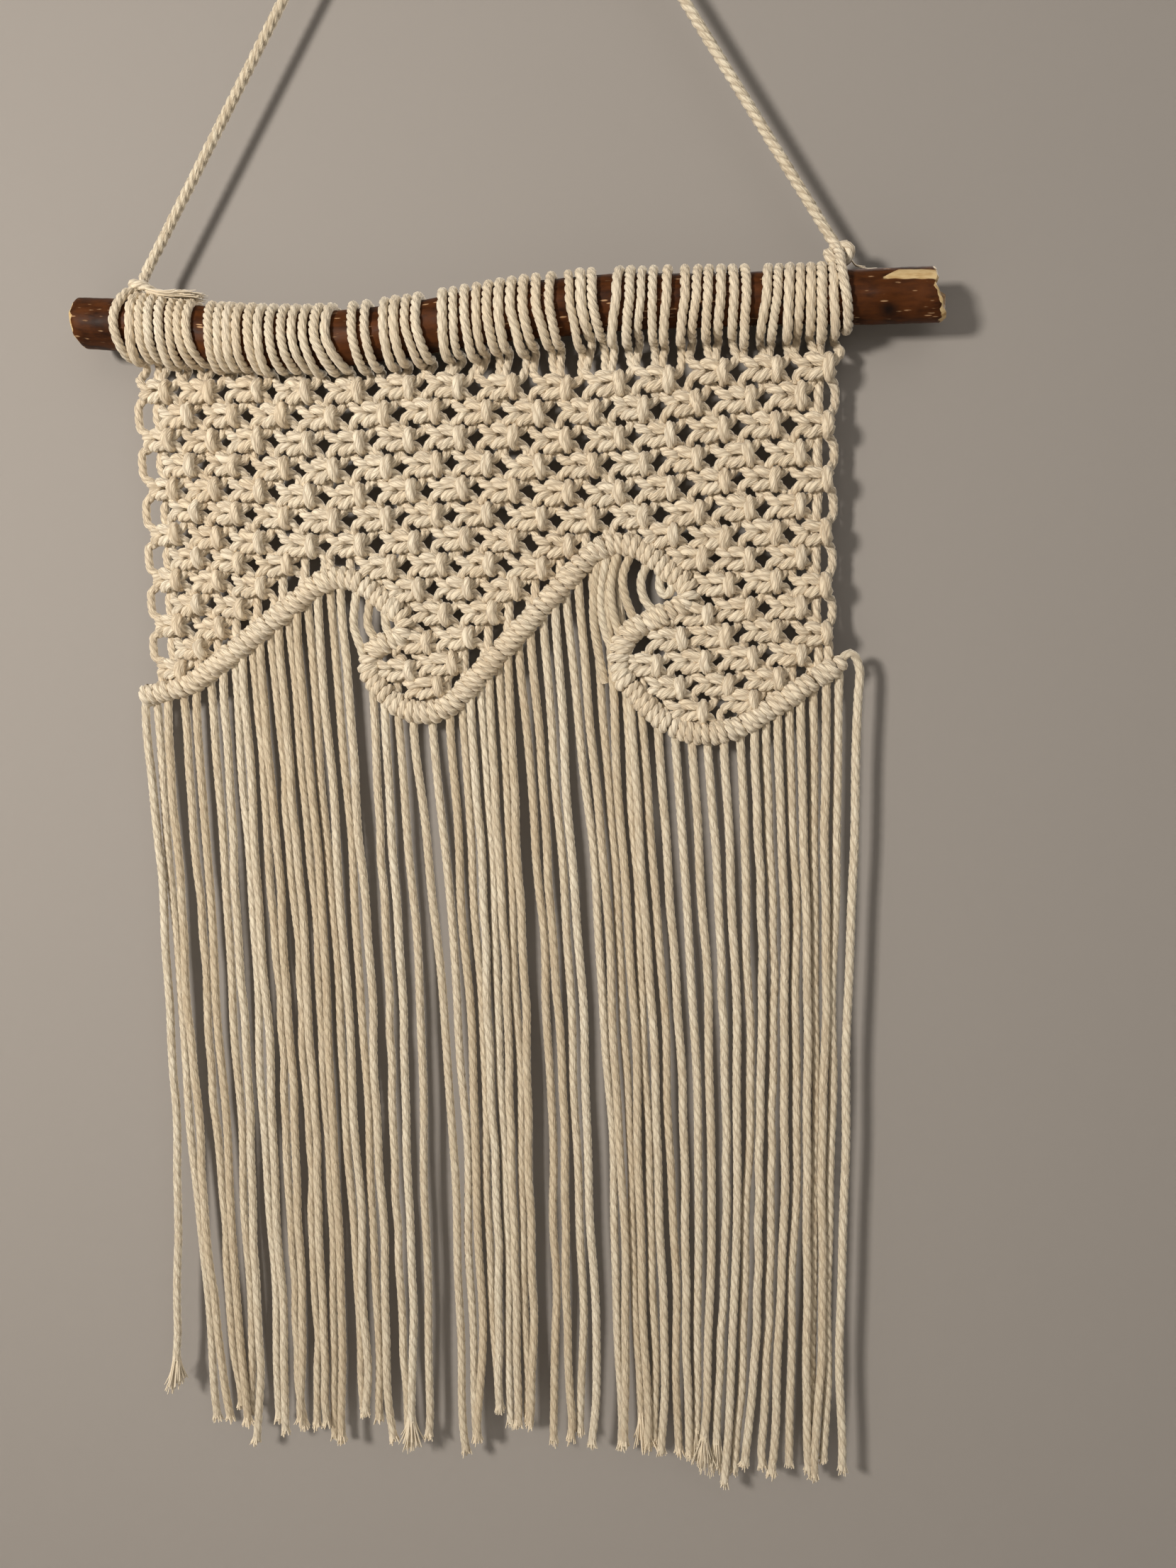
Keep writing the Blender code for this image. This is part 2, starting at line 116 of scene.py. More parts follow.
def carried_frames(line: np.ndarray) -> tuple[np.ndarray, np.ndarray, np.ndarray]:
    """Carry a pair of axes along a line without turning them about it.

    Args:
        line: The points of the line.

    Returns:
        The tangents and the two axes across them.
    """
    tangents = np.gradient(line, axis=0)
    tangents /= np.linalg.norm(tangents, axis=1)[:, None]
    axis = np.array([1.0, 0, 0]) if abs(tangents[0][0]) < 0.8 else np.array([0, 0, 1.0])
    across = np.empty_like(line)
    for i, tangent in enumerate(tangents):
        axis = axis - tangent * float(axis @ tangent)
        axis = axis / math.sqrt(float(axis @ axis))
        across[i] = axis
    return tangents, across, np.cross(tangents, across)


# ---- Cotton cord as a mesh -------------------------------------------------------------------
@dataclass
class Cotton:
    """A mesh in the making: tubes of cord that become one piece."""

    name: str
    corners: list[np.ndarray] = field(default_factory=list)
    quads: list[np.ndarray] = field(default_factory=list)
    maps: list[np.ndarray] = field(default_factory=list)
    tints: list[np.ndarray] = field(default_factory=list)
    count: int = 0

    def add_tube(self, rings: np.ndarray, along: np.ndarray, tint: float) -> None:
        """Skin one tube.

        Args:
            rings: Its rings of points, one row of points each.
            along: The distance along the cord at each ring.
            tint: From 0 to 1, how this cord's colour differs from its neighbours'.
        """
        rows, sides = rings.shape[:2]
        i, k = np.meshgrid(np.arange(rows - 1), np.arange(sides), indexing="ij")
        low, high, k_next = i * sides, (i + 1) * sides, (k + 1) % sides
        around = np.stack([k, k + 1, k + 1, k], -1) / sides
        length = np.stack([along[i], along[i], along[i + 1], along[i + 1]], -1) / 10
        points = rings.reshape(-1, 3)
        quads = np.stack([low + k, low + k_next, high + k_next, high + k], -1).reshape(-1, 4)
        self.corners.append(points)
        self.quads.append(quads + self.count)
        self.maps.append(np.stack([around, length], -1).reshape(-1, 2))
        self.tints.append(np.full(len(points), tint))
        self.count += len(points)

    def add_fibre(self, line: np.ndarray, thick: np.ndarray, along: np.ndarray, tint: float) -> None:
        """Skin one loose fibre, three-sided.

        Args:
            line: The points that it passes.
            thick: Its radius at each of them, one in a row.
            along: The distance along it at each of them.
            tint: From 0 to 1, how its colour differs from its neighbours'.
        """
        _, across, beside = carried_frames(line)
        turns = np.arange(3) * TURN / 3
        out = (thick * np.cos(turns))[..., None] * across[:, None]
        self.add_tube(line[:, None] + out + (thick * np.sin(turns))[..., None] * beside[:, None], along, tint)

    def make(self, finish: bpy.types.Material) -> bpy.types.Object:
        """Turn the tubes into one shaded piece with its own coordinates and tints.

        Args:
            finish: What it is finished in.

        Returns:
            The piece, in its place.
        """
        quads = np.vstack(self.quads).astype(np.int32)
        mesh = bpy.data.meshes.new(self.name)
        mesh.vertices.add(self.count)
        mesh.vertices.foreach_set("co", (np.vstack(self.corners) * MM).astype(np.float32).ravel())
        mesh.loops.add(quads.size)
        mesh.loops.foreach_set("vertex_index", quads.ravel())
        mesh.polygons.add(len(quads))
        mesh.polygons.foreach_set("loop_start", np.arange(0, quads.size, 4, dtype=np.int32))
        mesh.update(calc_edges=True)
        layer = mesh.uv_layers.new(name="along_cord")
        layer.uv.foreach_set("vector", np.vstack(self.maps).astype(np.float32).ravel())
        tint = mesh.attributes.new("tint", "FLOAT", "POINT")
        tint.data.foreach_set("value", np.concatenate(self.tints).astype(np.float32))
        mesh.shade_smooth()
        mesh.validate()
        mesh.materials.append(finish)
        return placed(bpy.data.objects.new(self.name, mesh))


def placed(obj: bpy.types.Object) -> bpy.types.Object:
    """Link a piece and ride it on the part's body.

    Args:
        obj: The piece.

    Returns:
        The piece.
    """
    bpy.context.collection.objects.link(obj)
    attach(obj, BODY)
    return obj


@dataclass(frozen=True)
class Rope:
    """Three-strand cotton cord."""

    radius: float = 1.62
    lay: float = 9.5
    shoulder: float = math.radians(25)
    crown: float = 1.05
    groove: float = 0.74
    step: float = 1.0
    handed: Lay = Lay.S

    def rings(self, line: np.ndarray, turn: float = 0.0) -> tuple[np.ndarray, np.ndarray]:
        """Sweep the rope's three-lobed section along a line, pressed flat where it is wide.

        Args:
            line: Points with x, y, z, the share of the full radius and the share of the full twist.
            turn: Where the strands start round the rope.

        Returns:
            The rings of points, and the distance along at each ring.
        """
        along = distances(line[:, :3])
        _, across, beside = carried_frames(line[:, :3])
        lobe = ((-self.shoulder, self.crown), (self.shoulder, self.crown), (TURN / 6, self.groove))
        angles, reaches = np.array([(k * TURN / 3 + away, reach) for k in range(3) for away, reach in lobe]).T
        twisted = np.concatenate([[0], np.cumsum(np.diff(along) * line[1:, 4])])
        swept = angles + (turn + self.handed.value * TURN * twisted / self.lay)[:, None]
        reach = reaches * (self.radius * line[:, 3])[:, None]
        offsets = (reach * np.cos(swept))[..., None] * across[:, None]
        offsets += (reach * np.sin(swept))[..., None] * beside[:, None]
        offsets[..., 1] /= np.maximum(line[:, 3], 1.0)[:, None]
        return line[:, None, :3] + offsets, along


ROPE = Rope()


@dataclass
class Run:
    """One cord: the points that it passes, and which piece each stretch belongs to."""

    points: list[tuple[float, ...]]
    pieces: list[tuple[int, str]]
    tint: float
    turn: float

    def add(self, x: float, y: float, z: float, share: float = 1.0, twist: float = 1.0) -> None:
        """Lead the cord on to one more point."""
        self.points.append((x, y, z, share, twist))

    def lay_into(self, cottons: dict[str, Cotton], rope: Rope = ROPE) -> float:
        """Sweep the cord and share its stretches among the pieces.

        Args:
            cottons: The pieces in the making, by name.
            rope: The rope that it is made of.

        Returns:
            The cord's length.
        """
        line, marks = smooth_line(np.array(self.points, float), rope.step)
        rings, along = rope.rings(line, self.turn)
        cuts = [int(np.searchsorted(along, marks[start])) for start, _ in self.pieces]
        for (_, name), first, last in zip(self.pieces, cuts, [*cuts[1:], len(along) - 1]):
            if last > first:
                part = slice(first, last + 1)
                cottons.setdefault(name, Cotton(name)).add_tube(rings[part], along[part], self.tint)
        return float(along[-1])


# ---- Finishes --------------------------------------------------------------------------------
def new_material(name: str) -> tuple[bpy.types.Material, bpy.types.NodeTree, bpy.types.ShaderNode]:
    """Start a material.

    Args:
        name: What it is called.

    Returns:
        The material, its nodes and its Principled shader.
    """
    made = bpy.data.materials.new(name)
    made.use_nodes = True
    return made, made.node_tree, made.node_tree.nodes["Principled BSDF"]


def feed(tree: bpy.types.NodeTree, socket: Socket, value: object) -> None:
    """Link a socket to another one, or set it to a plain value.

    Args:
        tree: Where both are.
        socket: The socket that is fed.
        value: A socket or a value.
    """
    if isinstance(value, Socket):
        tree.links.new(value, socket)
    else:
        socket.default_value = value


def math_node(tree: bpy.types.NodeTree, operation: str, *values: object) -> Socket:
    """Add a Math node.

    Args:
        tree: Where it goes.
        operation: What it does.
        values: Its inputs, each a number or a socket.

    Returns:
        Its output.
    """
    node = tree.nodes.new("ShaderNodeMath")
    node.operation = operation
    for socket, value in zip(node.inputs, values):
        feed(tree, socket, value)
    return node.outputs[0]


def mix_node(tree: bpy.types.NodeTree, share: object, low: object, high: object) -> Socket:
    """Add a mix of two colours.

    Args:
        tree: Where it goes.
        share: How much of the second colour shows.
        low: The first colour, plain or a socket.
        high: The second colour, likewise.

    Returns:
        The mixed colour.
    """
    node = tree.nodes.new("ShaderNodeMix")
    node.data_type = "RGBA"
    sockets = {socket.identifier: socket for socket in node.inputs}
    feed(tree, sockets["Factor_Float"], share)
    for label, colour in (("A_Color", low), ("B_Color", high)):
        feed(tree, sockets[label], colour if isinstance(colour, Socket) else (*colour, 1.0))
    return next(socket for socket in node.outputs if socket.identifier == "Result_Color")


def noise_node(tree: bpy.types.NodeTree, place: Socket, scale: float, detail: float = 2.0) -> Socket:
    """Add a Noise texture.

    Args:
        tree: Where it goes.
        place: Where it is read.
        scale: How fine it is.
        detail: How many finer layers it has.

    Returns:
        Its value.
    """
    node = tree.nodes.new("ShaderNodeTexNoise")
    node.inputs["Scale"].default_value = scale
    node.inputs["Detail"].default_value = detail
    tree.links.new(place, node.inputs["Vector"])
    return node.outputs[0]


def range_node(tree: bpy.types.NodeTree, value: Socket, low: float, high: float) -> Socket:
    """Map a value smoothly to the range from 0 to 1, and hold it there.

    Args:
        tree: Where the node goes.
        value: The value.
        low: What becomes 0.
        high: What becomes 1.

    Returns:
        The mapped value.
    """
    node = tree.nodes.new("ShaderNodeMapRange")
    node.interpolation_type = "SMOOTHSTEP"
    node.inputs["From Min"].default_value = low
    node.inputs["From Max"].default_value = high
    tree.links.new(value, node.inputs["Value"])
    return node.outputs[0]


def stretched(tree: bpy.types.NodeTree, place: Socket, scale: tuple[float, float, float]) -> Socket:
    """Read a place through a Mapping node.

    Args:
        tree: Where the node goes.
        place: The place.
        scale: How much finer a pattern comes out along each axis.

    Returns:
        The new place.
    """
    node = tree.nodes.new("ShaderNodeMapping")
    node.inputs["Scale"].default_value = scale
    tree.links.new(place, node.inputs["Vector"])
    return node.outputs[0]


def map_node(tree: bpy.types.NodeTree, name: str) -> Socket:
    """Read a piece's own flat coordinates.

    Args:
        tree: Where the node goes.
        name: What the coordinates are called.

    Returns:
        The place in them.
    """
    node = tree.nodes.new("ShaderNodeUVMap")
    node.uv_map = name
    return node.outputs["UV"]


def attribute_node(tree: bpy.types.NodeTree, name: str) -> Socket:
    """Read a value that a mesh carries at its points.

    Args:
        tree: Where the node goes.
        name: What the value is called.

    Returns:
        The value.
    """
    node = tree.nodes.new("ShaderNodeAttribute")
    node.attribute_name = name
    return node.outputs["Fac"]


def add_bump(tree: bpy.types.NodeTree, height: Socket, strength: float, depth: float) -> None:
    """Raise a material's surface by a height.

    Args:
        tree: The material's nodes.
        height: From 0 to 1.
        strength: How much of it shows.
        depth: What a height of 1 stands for, in millimetres.
    """
    bump = tree.nodes.new("ShaderNodeBump")
    bump.inputs["Strength"].default_value = strength
    bump.inputs["Distance"].default_value = depth * MM
    tree.links.new(height, bump.inputs["Height"])
    tree.links.new(bump.outputs["Normal"], tree.nodes["Principled BSDF"].inputs["Normal"])


def cord_relief_group() -> bpy.types.NodeTree:
    """The twist and fibres of cotton cord, from its own coordinates round and along.

    Returns:
        The group. Groove is 1 in the valleys between strands, Fibres is a fine height that runs
        with the yarn, and Mottle is a slow change of shade along the cord.
    """
    tree = bpy.data.node_groups.new("Cord relief", "ShaderNodeTree")
    for label, kind in (("Place", "Vector"), ("Tint", "Float"), ("Slant", "Float")):
        tree.interface.new_socket(label, in_out="INPUT", socket_type=f"NodeSocket{kind}")
    for label in ("Groove", "Fibres", "Mottle"):
        tree.interface.new_socket(label, in_out="OUTPUT", socket_type="NodeSocketFloat")
    given, made = tree.nodes.new("NodeGroupInput"), tree.nodes.new("NodeGroupOutput")
    parts = tree.nodes.new("ShaderNodeSeparateXYZ")
    tree.links.new(given.outputs["Place"], parts.inputs[0])
    around, along, tint = parts.outputs["X"], parts.outputs["Y"], given.outputs["Tint"]
    third = math_node(tree, "FRACT", math_node(tree, "MULTIPLY_ADD", around, 3.0, 1 / 3))
    away = math_node(tree, "ABSOLUTE", math_node(tree, "SUBTRACT", third, 0.5))
    lean = math_node(tree, "MULTIPLY_ADD", along, given.outputs["Slant"], around)
    fibre_place, slow_place = (tree.nodes.new("ShaderNodeCombineXYZ") for _ in range(2))
    tree.links.new(math_node(tree, "MULTIPLY", lean, 30.0), fibre_place.inputs["X"])
    tree.links.new(math_node(tree, "MULTIPLY", along, 2.2), fibre_place.inputs["Y"])
    tree.links.new(math_node(tree, "MULTIPLY", tint, 90.0), fibre_place.inputs["Z"])
    tree.links.new(along, slow_place.inputs["X"])
    tree.links.new(math_node(tree, "MULTIPLY", tint, 40.0), slow_place.inputs["Y"])
    tree.links.new(range_node(tree, away, 0.26, 0.5), made.inputs["Groove"])
    tree.links.new(noise_node(tree, fibre_place.outputs[0], 1.0, 3.0), made.inputs["Fibres"])
    tree.links.new(noise_node(tree, slow_place.outputs[0], 0.8), made.inputs["Mottle"])
    return tree


@dataclass(frozen=True)
class CottonFinish:
    """Matt cream cotton, with painted shade in the grooves between its strands and where its fibre relief
    lies low.
    """

    name: str
    light: Colour = (0.98, 0.90, 0.74)
    warm: Colour = (0.88, 0.75, 0.56)
    # The colour of the painted shade in the grooves between strands and between the fibres.
    groove: Colour = (0.30, 0.20, 0.11)
    # How strongly the grooves between strands are painted in shade.
    groove_shade: float = 0.5
    # How strongly the low places between the fibres are painted in shade.
    fibre_shade: float = 0.5
    tint_share: float = 0.6
    slant: float = -0.7
    depth: float = 0.7
    roughness: float = 0.92
    sheen: float = 0.25

    def material(self, relief: bpy.types.NodeTree) -> bpy.types.Material:
        """Build the material.

        Args:
            relief: The group that all the cotton shares.

        Returns:
            The material.
        """
        made, tree, shader = new_material(self.name)
        shader.inputs["Roughness"].default_value = self.roughness
        shader.inputs["Sheen Weight"].default_value = self.sheen
        shader.inputs["Sheen Roughness"].default_value = 0.5
        shader.inputs["Specular IOR Level"].default_value = 0.2
        tint = attribute_node(tree, "tint")
        group = tree.nodes.new("ShaderNodeGroup")
        group.node_tree = relief
        group.inputs["Slant"].default_value = self.slant
        tree.links.new(map_node(tree, "along_cord"), group.inputs["Place"])
        tree.links.new(tint, group.inputs["Tint"])
        groove, fibres, mottle = group.outputs
        shade = math_node(tree, "MULTIPLY_ADD", mottle, 0.9, -0.2)
        shade = math_node(tree, "MULTIPLY_ADD", tint, self.tint_share, shade)
        # Painted shade: the groove colour goes into the valleys between strands and where the fibre relief
        # lies low.
        fibre_shade = math_node(tree, "MULTIPLY", range_node(tree, fibres, 0.56, 0.38), self.fibre_shade)
        dark = math_node(tree, "MAXIMUM", math_node(tree, "MULTIPLY", groove, self.groove_shade), fibre_shade)
        body = mix_node(tree, shade, self.light, self.warm)
        tree.links.new(mix_node(tree, dark, body, self.groove), shader.inputs["Base Color"])
        add_bump(tree, fibres, 0.9, self.depth)
        return made


@dataclass(frozen=True)
class BarkFinish:
    """Satin red-brown bark with pale pores in rows round the branch."""

    name: str = "brown bark"
    dark: Colour = (0.010, 0.0025, 0.0006)
    warm: Colour = (0.092, 0.027, 0.005)
    pore: Colour = (0.46, 0.28, 0.15)
    wood: Colour = (0.66, 0.50, 0.27)
    grain: Colour = (0.50, 0.33, 0.15)
    scar: Colour = (0.006, 0.002, 0.001)
    roughness: float = 0.38
    rim: float = 0.15

    def material(self) -> bpy.types.Material:
        """Build the material.

        Returns:
            The material, with bare wood where the piece's own "bare" value is above 0.
        """
        made, tree, shader = new_material(self.name)
        shader.inputs["Specular IOR Level"].default_value = 0.14
        place = map_node(tree, "along_rod")
        slow = noise_node(tree, place, 0.9, 4.0)
        streak = noise_node(tree, stretched(tree, place, (1.0, 3.0, 1.0)), 1.6, 6.0)
        shade = math_node(tree, "MULTIPLY_ADD", slow, 0.7, math_node(tree, "MULTIPLY", streak, 0.5))
        body = mix_node(tree, range_node(tree, shade, 0.35, 0.8), self.dark, self.warm)
        pores = tree.nodes.new("ShaderNodeTexVoronoi")
        pores.inputs["Scale"].default_value = 1.5
        pores.inputs["Randomness"].default_value = 1.0
        tree.links.new(stretched(tree, place, (1.2, 4.8, 1.0)), pores.inputs["Vector"])
        pore = math_node(tree, "SUBTRACT", 1.0, range_node(tree, pores.outputs["Distance"], 0.14, 0.26))
        pore = math_node(tree, "MULTIPLY", pore, range_node(tree, streak, 0.42, 0.6))
        body = mix_node(tree, pore, body, self.pore)
        body = mix_node(tree, attribute_node(tree, "scar"), body, self.scar)
        wood = mix_node(tree, range_node(tree, streak, 0.4, 0.7), self.wood, self.grain)
        bare = range_node(tree, attribute_node(tree, "bare"), -self.rim, self.rim)
        tree.links.new(mix_node(tree, bare, body, wood), shader.inputs["Base Color"])
        roughness = math_node(tree, "MULTIPLY_ADD", streak, 0.3, self.roughness)
        tree.links.new(roughness, shader.inputs["Roughness"])
        add_bump(tree, math_node(tree, "MULTIPLY_ADD", pore, 0.7, streak), 0.5, 0.25)
        return made


@dataclass(frozen=True)
class CutWoodFinish:
    """Pale bare wood, at the rod's cut ends."""

    name: str = "pale cut wood"
    pale: Colour = (0.50, 0.34, 0.19)
    ring: Colour = (0.30, 0.17, 0.08)

    def material(self) -> bpy.types.Material:
        """Build the material.

        Returns:
            The material.
        """
        made, tree, shader = new_material(self.name)
        shader.inputs["Roughness"].default_value = 0.8
        place = tree.nodes.new("ShaderNodeTexCoord").outputs["Object"]
        grain = noise_node(tree, place, 900.0, 4.0)
        shade = range_node(tree, grain, 0.35, 0.65)
        tree.links.new(mix_node(tree, shade, self.pale, self.ring), shader.inputs["Base Color"])
        add_bump(tree, grain, 1.0, 0.3)
        return made


# ---- The rod ---------------------------------------------------------------------------------
class Station(NamedTuple):
    """One section of the rod."""

    x: float
    z: float
    radius: float


class Spot(NamedTuple):
    """A soft patch on the rod: its x, its place round the rod, and its reach along and round it."""

    x: float
    angle: float
    along: float
    about: float

    def at(self, x: np.ndarray, angle: np.ndarray) -> np.ndarray:
        """How strong it is at each place, 1 in its middle."""
        return np.exp(-(((x - self.x) / self.along) ** 2) - ((angle - self.angle) / self.about) ** 2)


@dataclass
class Branch:
    """The natural branch, gently bent twice, with its bark on, sawn on the left and torn on the right."""

    stations: tuple[Station, ...] = (
        Station(-134.4, -188.9, 8.2),
        Station(-110.0, -191.2, 8.5),
        Station(-93.0, -194.2, 8.7),
        Station(-78.0, -196.0, 8.7),
        Station(-45.0, -197.7, 8.6),
        Station(-14.0, -195.1, 8.2),
        Station(14.0, -192.2, 8.3),
        Station(41.0, -190.9, 8.3),
        Station(64.0, -191.1, 8.0),
        Station(89.0, -191.9, 7.8),
        Station(145.5, -193.4, 7.8),
    )
    step: float = 1.2
    sides: int = 72
    bevel: float = 0.7
    peel_from: float = 125.0
    rim: float = 1.1
    twig: Spot = Spot(126.0, 1.75, 4.5, 0.35)
    twig_height: float = 1.1
    scar: Spot = Spot(128.0, 2.35, 2.6, 0.3)
    bark_turn: float = 5.7
    end_rings: tuple[float, ...] = (0.8, 0.55, 0.28)
    end_bulge: float = 0.25
    tip_bulge: float = 0.3
    sharp: float = math.radians(50)

    def __post_init__(self) -> None:
        """Read the rod's smooth middle line once."""
        self.line, _ = smooth_line(np.array([(s.x, 0, s.z, s.radius) for s in self.stations]), self.step)

    def at(self, x: float) -> tuple[float, float]:
        """The middle height and radius of the rod at x."""
        return tuple(float(np.interp(x, self.line[:, 0], self.line[:, k])) for k in (2, 3))

    def bark_relief(self, x: np.ndarray, angle: np.ndarray) -> np.ndarray:
        """How far the bark stands off a plain round rod, with one old twig's knot.

        Args:
            x: Places along the rod.
            angle: Places round it, from the top over the front.

        Returns:
            The height at each place.
        """
        slow = 0.22 * np.sin(x / 17 + 2 * np.sin(angle)) + 0.16 * np.sin(x / 7.3 + 3 * angle)
        fine = 0.05 * np.sin(x * 1.3 + 5 * angle) * np.sin(x * 0.47)
        return slow + fine + self.twig_height * self.twig.at(x, angle)

    def bare(self, x: np.ndarray, angle: np.ndarray) -> np.ndarray:
        """Find the wood without bark: both rims and a strip peeled high on the front at the right end.

        Args:
            x: Places along the rod.
            angle: Places round it.

        Returns:
            How far inside such a patch each place is, below 0 outside.
        """
        frayed = 0.3 * np.sin(5 * angle) + 0.3 * np.sin(13 * angle + 1) + 0.2 * np.sin(22 * angle)
        first = self.rim * (0.7 + frayed) - (x - self.line[0, 0])
        last = self.rim * (1.3 + 1.3 * frayed) - (self.line[-1, 0] - x)
        upper = 1.24 - 0.52 * np.clip((x - self.peel_from) / 6, 0, 1)
        strip = 8 * np.minimum(angle - upper, 1.21 + 0.012 * np.sin(1.1 * x) - angle)
        return np.maximum(np.maximum(first, last), np.where(x > self.peel_from, strip, -1.0))

    def skin_points(self, x: np.ndarray, angle: np.ndarray) -> np.ndarray:
        """Place the bark's points, with bevelled, uneven ends.

        Args:
            x: Places along the straightened rod, one row for each of its rings.
            angle: Places round it.

        Returns:
            The points.
        """
        first, last = self.line[0, 0], self.line[-1, 0]
        radius = self.line[:, 3][:, None] + self.bark_relief(x, angle)
        away = np.minimum(x - first, last - x)
        radius = radius - self.bevel * np.clip(1 - away / self.bevel, 0, 1) ** 2
        ragged = 0.4 * np.sin(3 * angle) + 0.25 * np.sin(7 * angle + 1) + 0.15 * np.sin(13 * angle)
        slope = -2.0 - 1.8 * np.cos(angle - 0.5)
        x = x + (ragged + slope) * np.exp(-((last - x) / 6))
        x = x + (0.6 * ragged + 0.5) * np.exp(-((x - first) / 2))
        return np.stack([x, -radius * np.sin(angle), self.line[:, 2][:, None] + radius * np.cos(angle)], -1)

    def skin_faces(self) -> tuple[list[tuple[int, ...]], list[tuple[float, float]]]:
        """Join the bark's points ring by ring.

        Returns:
            The faces, and the flat place of each of their corners along and round the rod.
        """
        sides = self.sides
        faces, maps = [], []
        for i in range(len(self.line) - 1):
            low, high = i * sides, (i + 1) * sides
            u0, u1 = i * self.step / 10, (i + 1) * self.step / 10
            for k in range(sides):
                j = (k + 1) % sides
                faces.append((low + k, high + k, high + j, low + j))
                v0, v1 = self.bark_turn * k / sides, self.bark_turn * (k + 1) / sides
                maps += [(u0, v0), (u1, v0), (u1, v1), (u0, v1)]
        return faces, maps

    def close_end(self, row: int, sign: int, verts: list[np.ndarray], faces: list[tuple[int, ...]]) -> None:
        """Close one end with a slightly bulging, uneven face of bare wood.

        Args:
            row: The ring of bark at that end.
            sign: 1 for the left end, -1 for the right one.
            verts: The points so far, which the end's own are added to.
            faces: The faces so far, likewise.
        """
        middle = np.array([self.line[row, 0], 0, self.line[row, 2]]) * MM
        starts = [row * self.sides]
        for share in self.end_rings:
            starts.append(len(verts))
            for k in range(self.sides):
                rim = verts[row * self.sides + k]
                place = middle + (rim - middle) * share
                place[0] = rim[0] + sign * self.end_bulge * MM * (1 + 0.6 * math.sin(35 * share + k))
                verts.append(place)
        tip = len(verts)
        verts.append(middle + np.array([sign * self.tip_bulge * MM, 0, 0]))
        for low, high in zip(starts, [*starts[1:], None]):
            for k in range(self.sides):
                j = (k + 1) % self.sides
                ring = (low + k, low + j, tip) if high is None else (low + k, low + j, high + j, high + k)
                faces.append(ring[::sign])

    def build(self, bark: bpy.types.Material, wood: bpy.types.Material) -> bpy.types.Object:
        """Mesh the branch.

        Args:
            bark: The finish of its skin.
            wood: The finish of its ends.

        Returns:
            The piece, which stands for the frame's rod.
        """
        rows, sides = len(self.line), self.sides
        x, angle = np.meshgrid(self.line[:, 0], np.arange(sides) * TURN / sides, indexing="ij")
        verts = list(self.skin_points(x, angle).reshape(-1, 3) * MM)
        faces, maps = self.skin_faces()
        skinned = len(faces)
        self.close_end(0, 1, verts, faces)
        self.close_end(rows - 1, -1, verts, faces)
        maps += [(0.0, 0.0)] * sum(len(face) for face in faces[skinned:])
        mesh = bpy.data.meshes.new("branch_rod")
        mesh.from_pydata([tuple(v) for v in verts], [], faces)
        mesh.uv_layers.new(name="along_rod").uv.foreach_set("vector", np.array(maps, np.float32).ravel())
        for name, values in (("bare", self.bare(x, angle)), ("scar", self.scar.at(x, angle))):
            padded = np.pad(values.ravel(), (0, len(verts) - values.size)).astype(np.float32)
            mesh.attributes.new(name, "FLOAT", "POINT").data.foreach_set("value", padded)
        mesh.polygons.foreach_set("material_index", [0] * skinned + [1] * (len(faces) - skinned))
        mesh.shade_smooth()
        mesh.set_sharp_from_angle(angle=self.sharp)
        mesh.materials.append(bark)
        mesh.materials.append(wood)
        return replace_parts(placed(bpy.data.objects.new("branch_rod", mesh)), "rod")


# ---- The hitched bar's line ------------------------------------------------------------------
class Peg(NamedTuple):
    """A round peg that the bar's line is laid against, anticlockwise (+1) or clockwise (-1)."""

    x: float
    z: float
    radius: float
    turn: int


class Wave(NamedTuple):
    """One curling wave: its crest's top, and the depth of the hollow after it."""

    crest_x: float
    crest_z: float
    depth: float


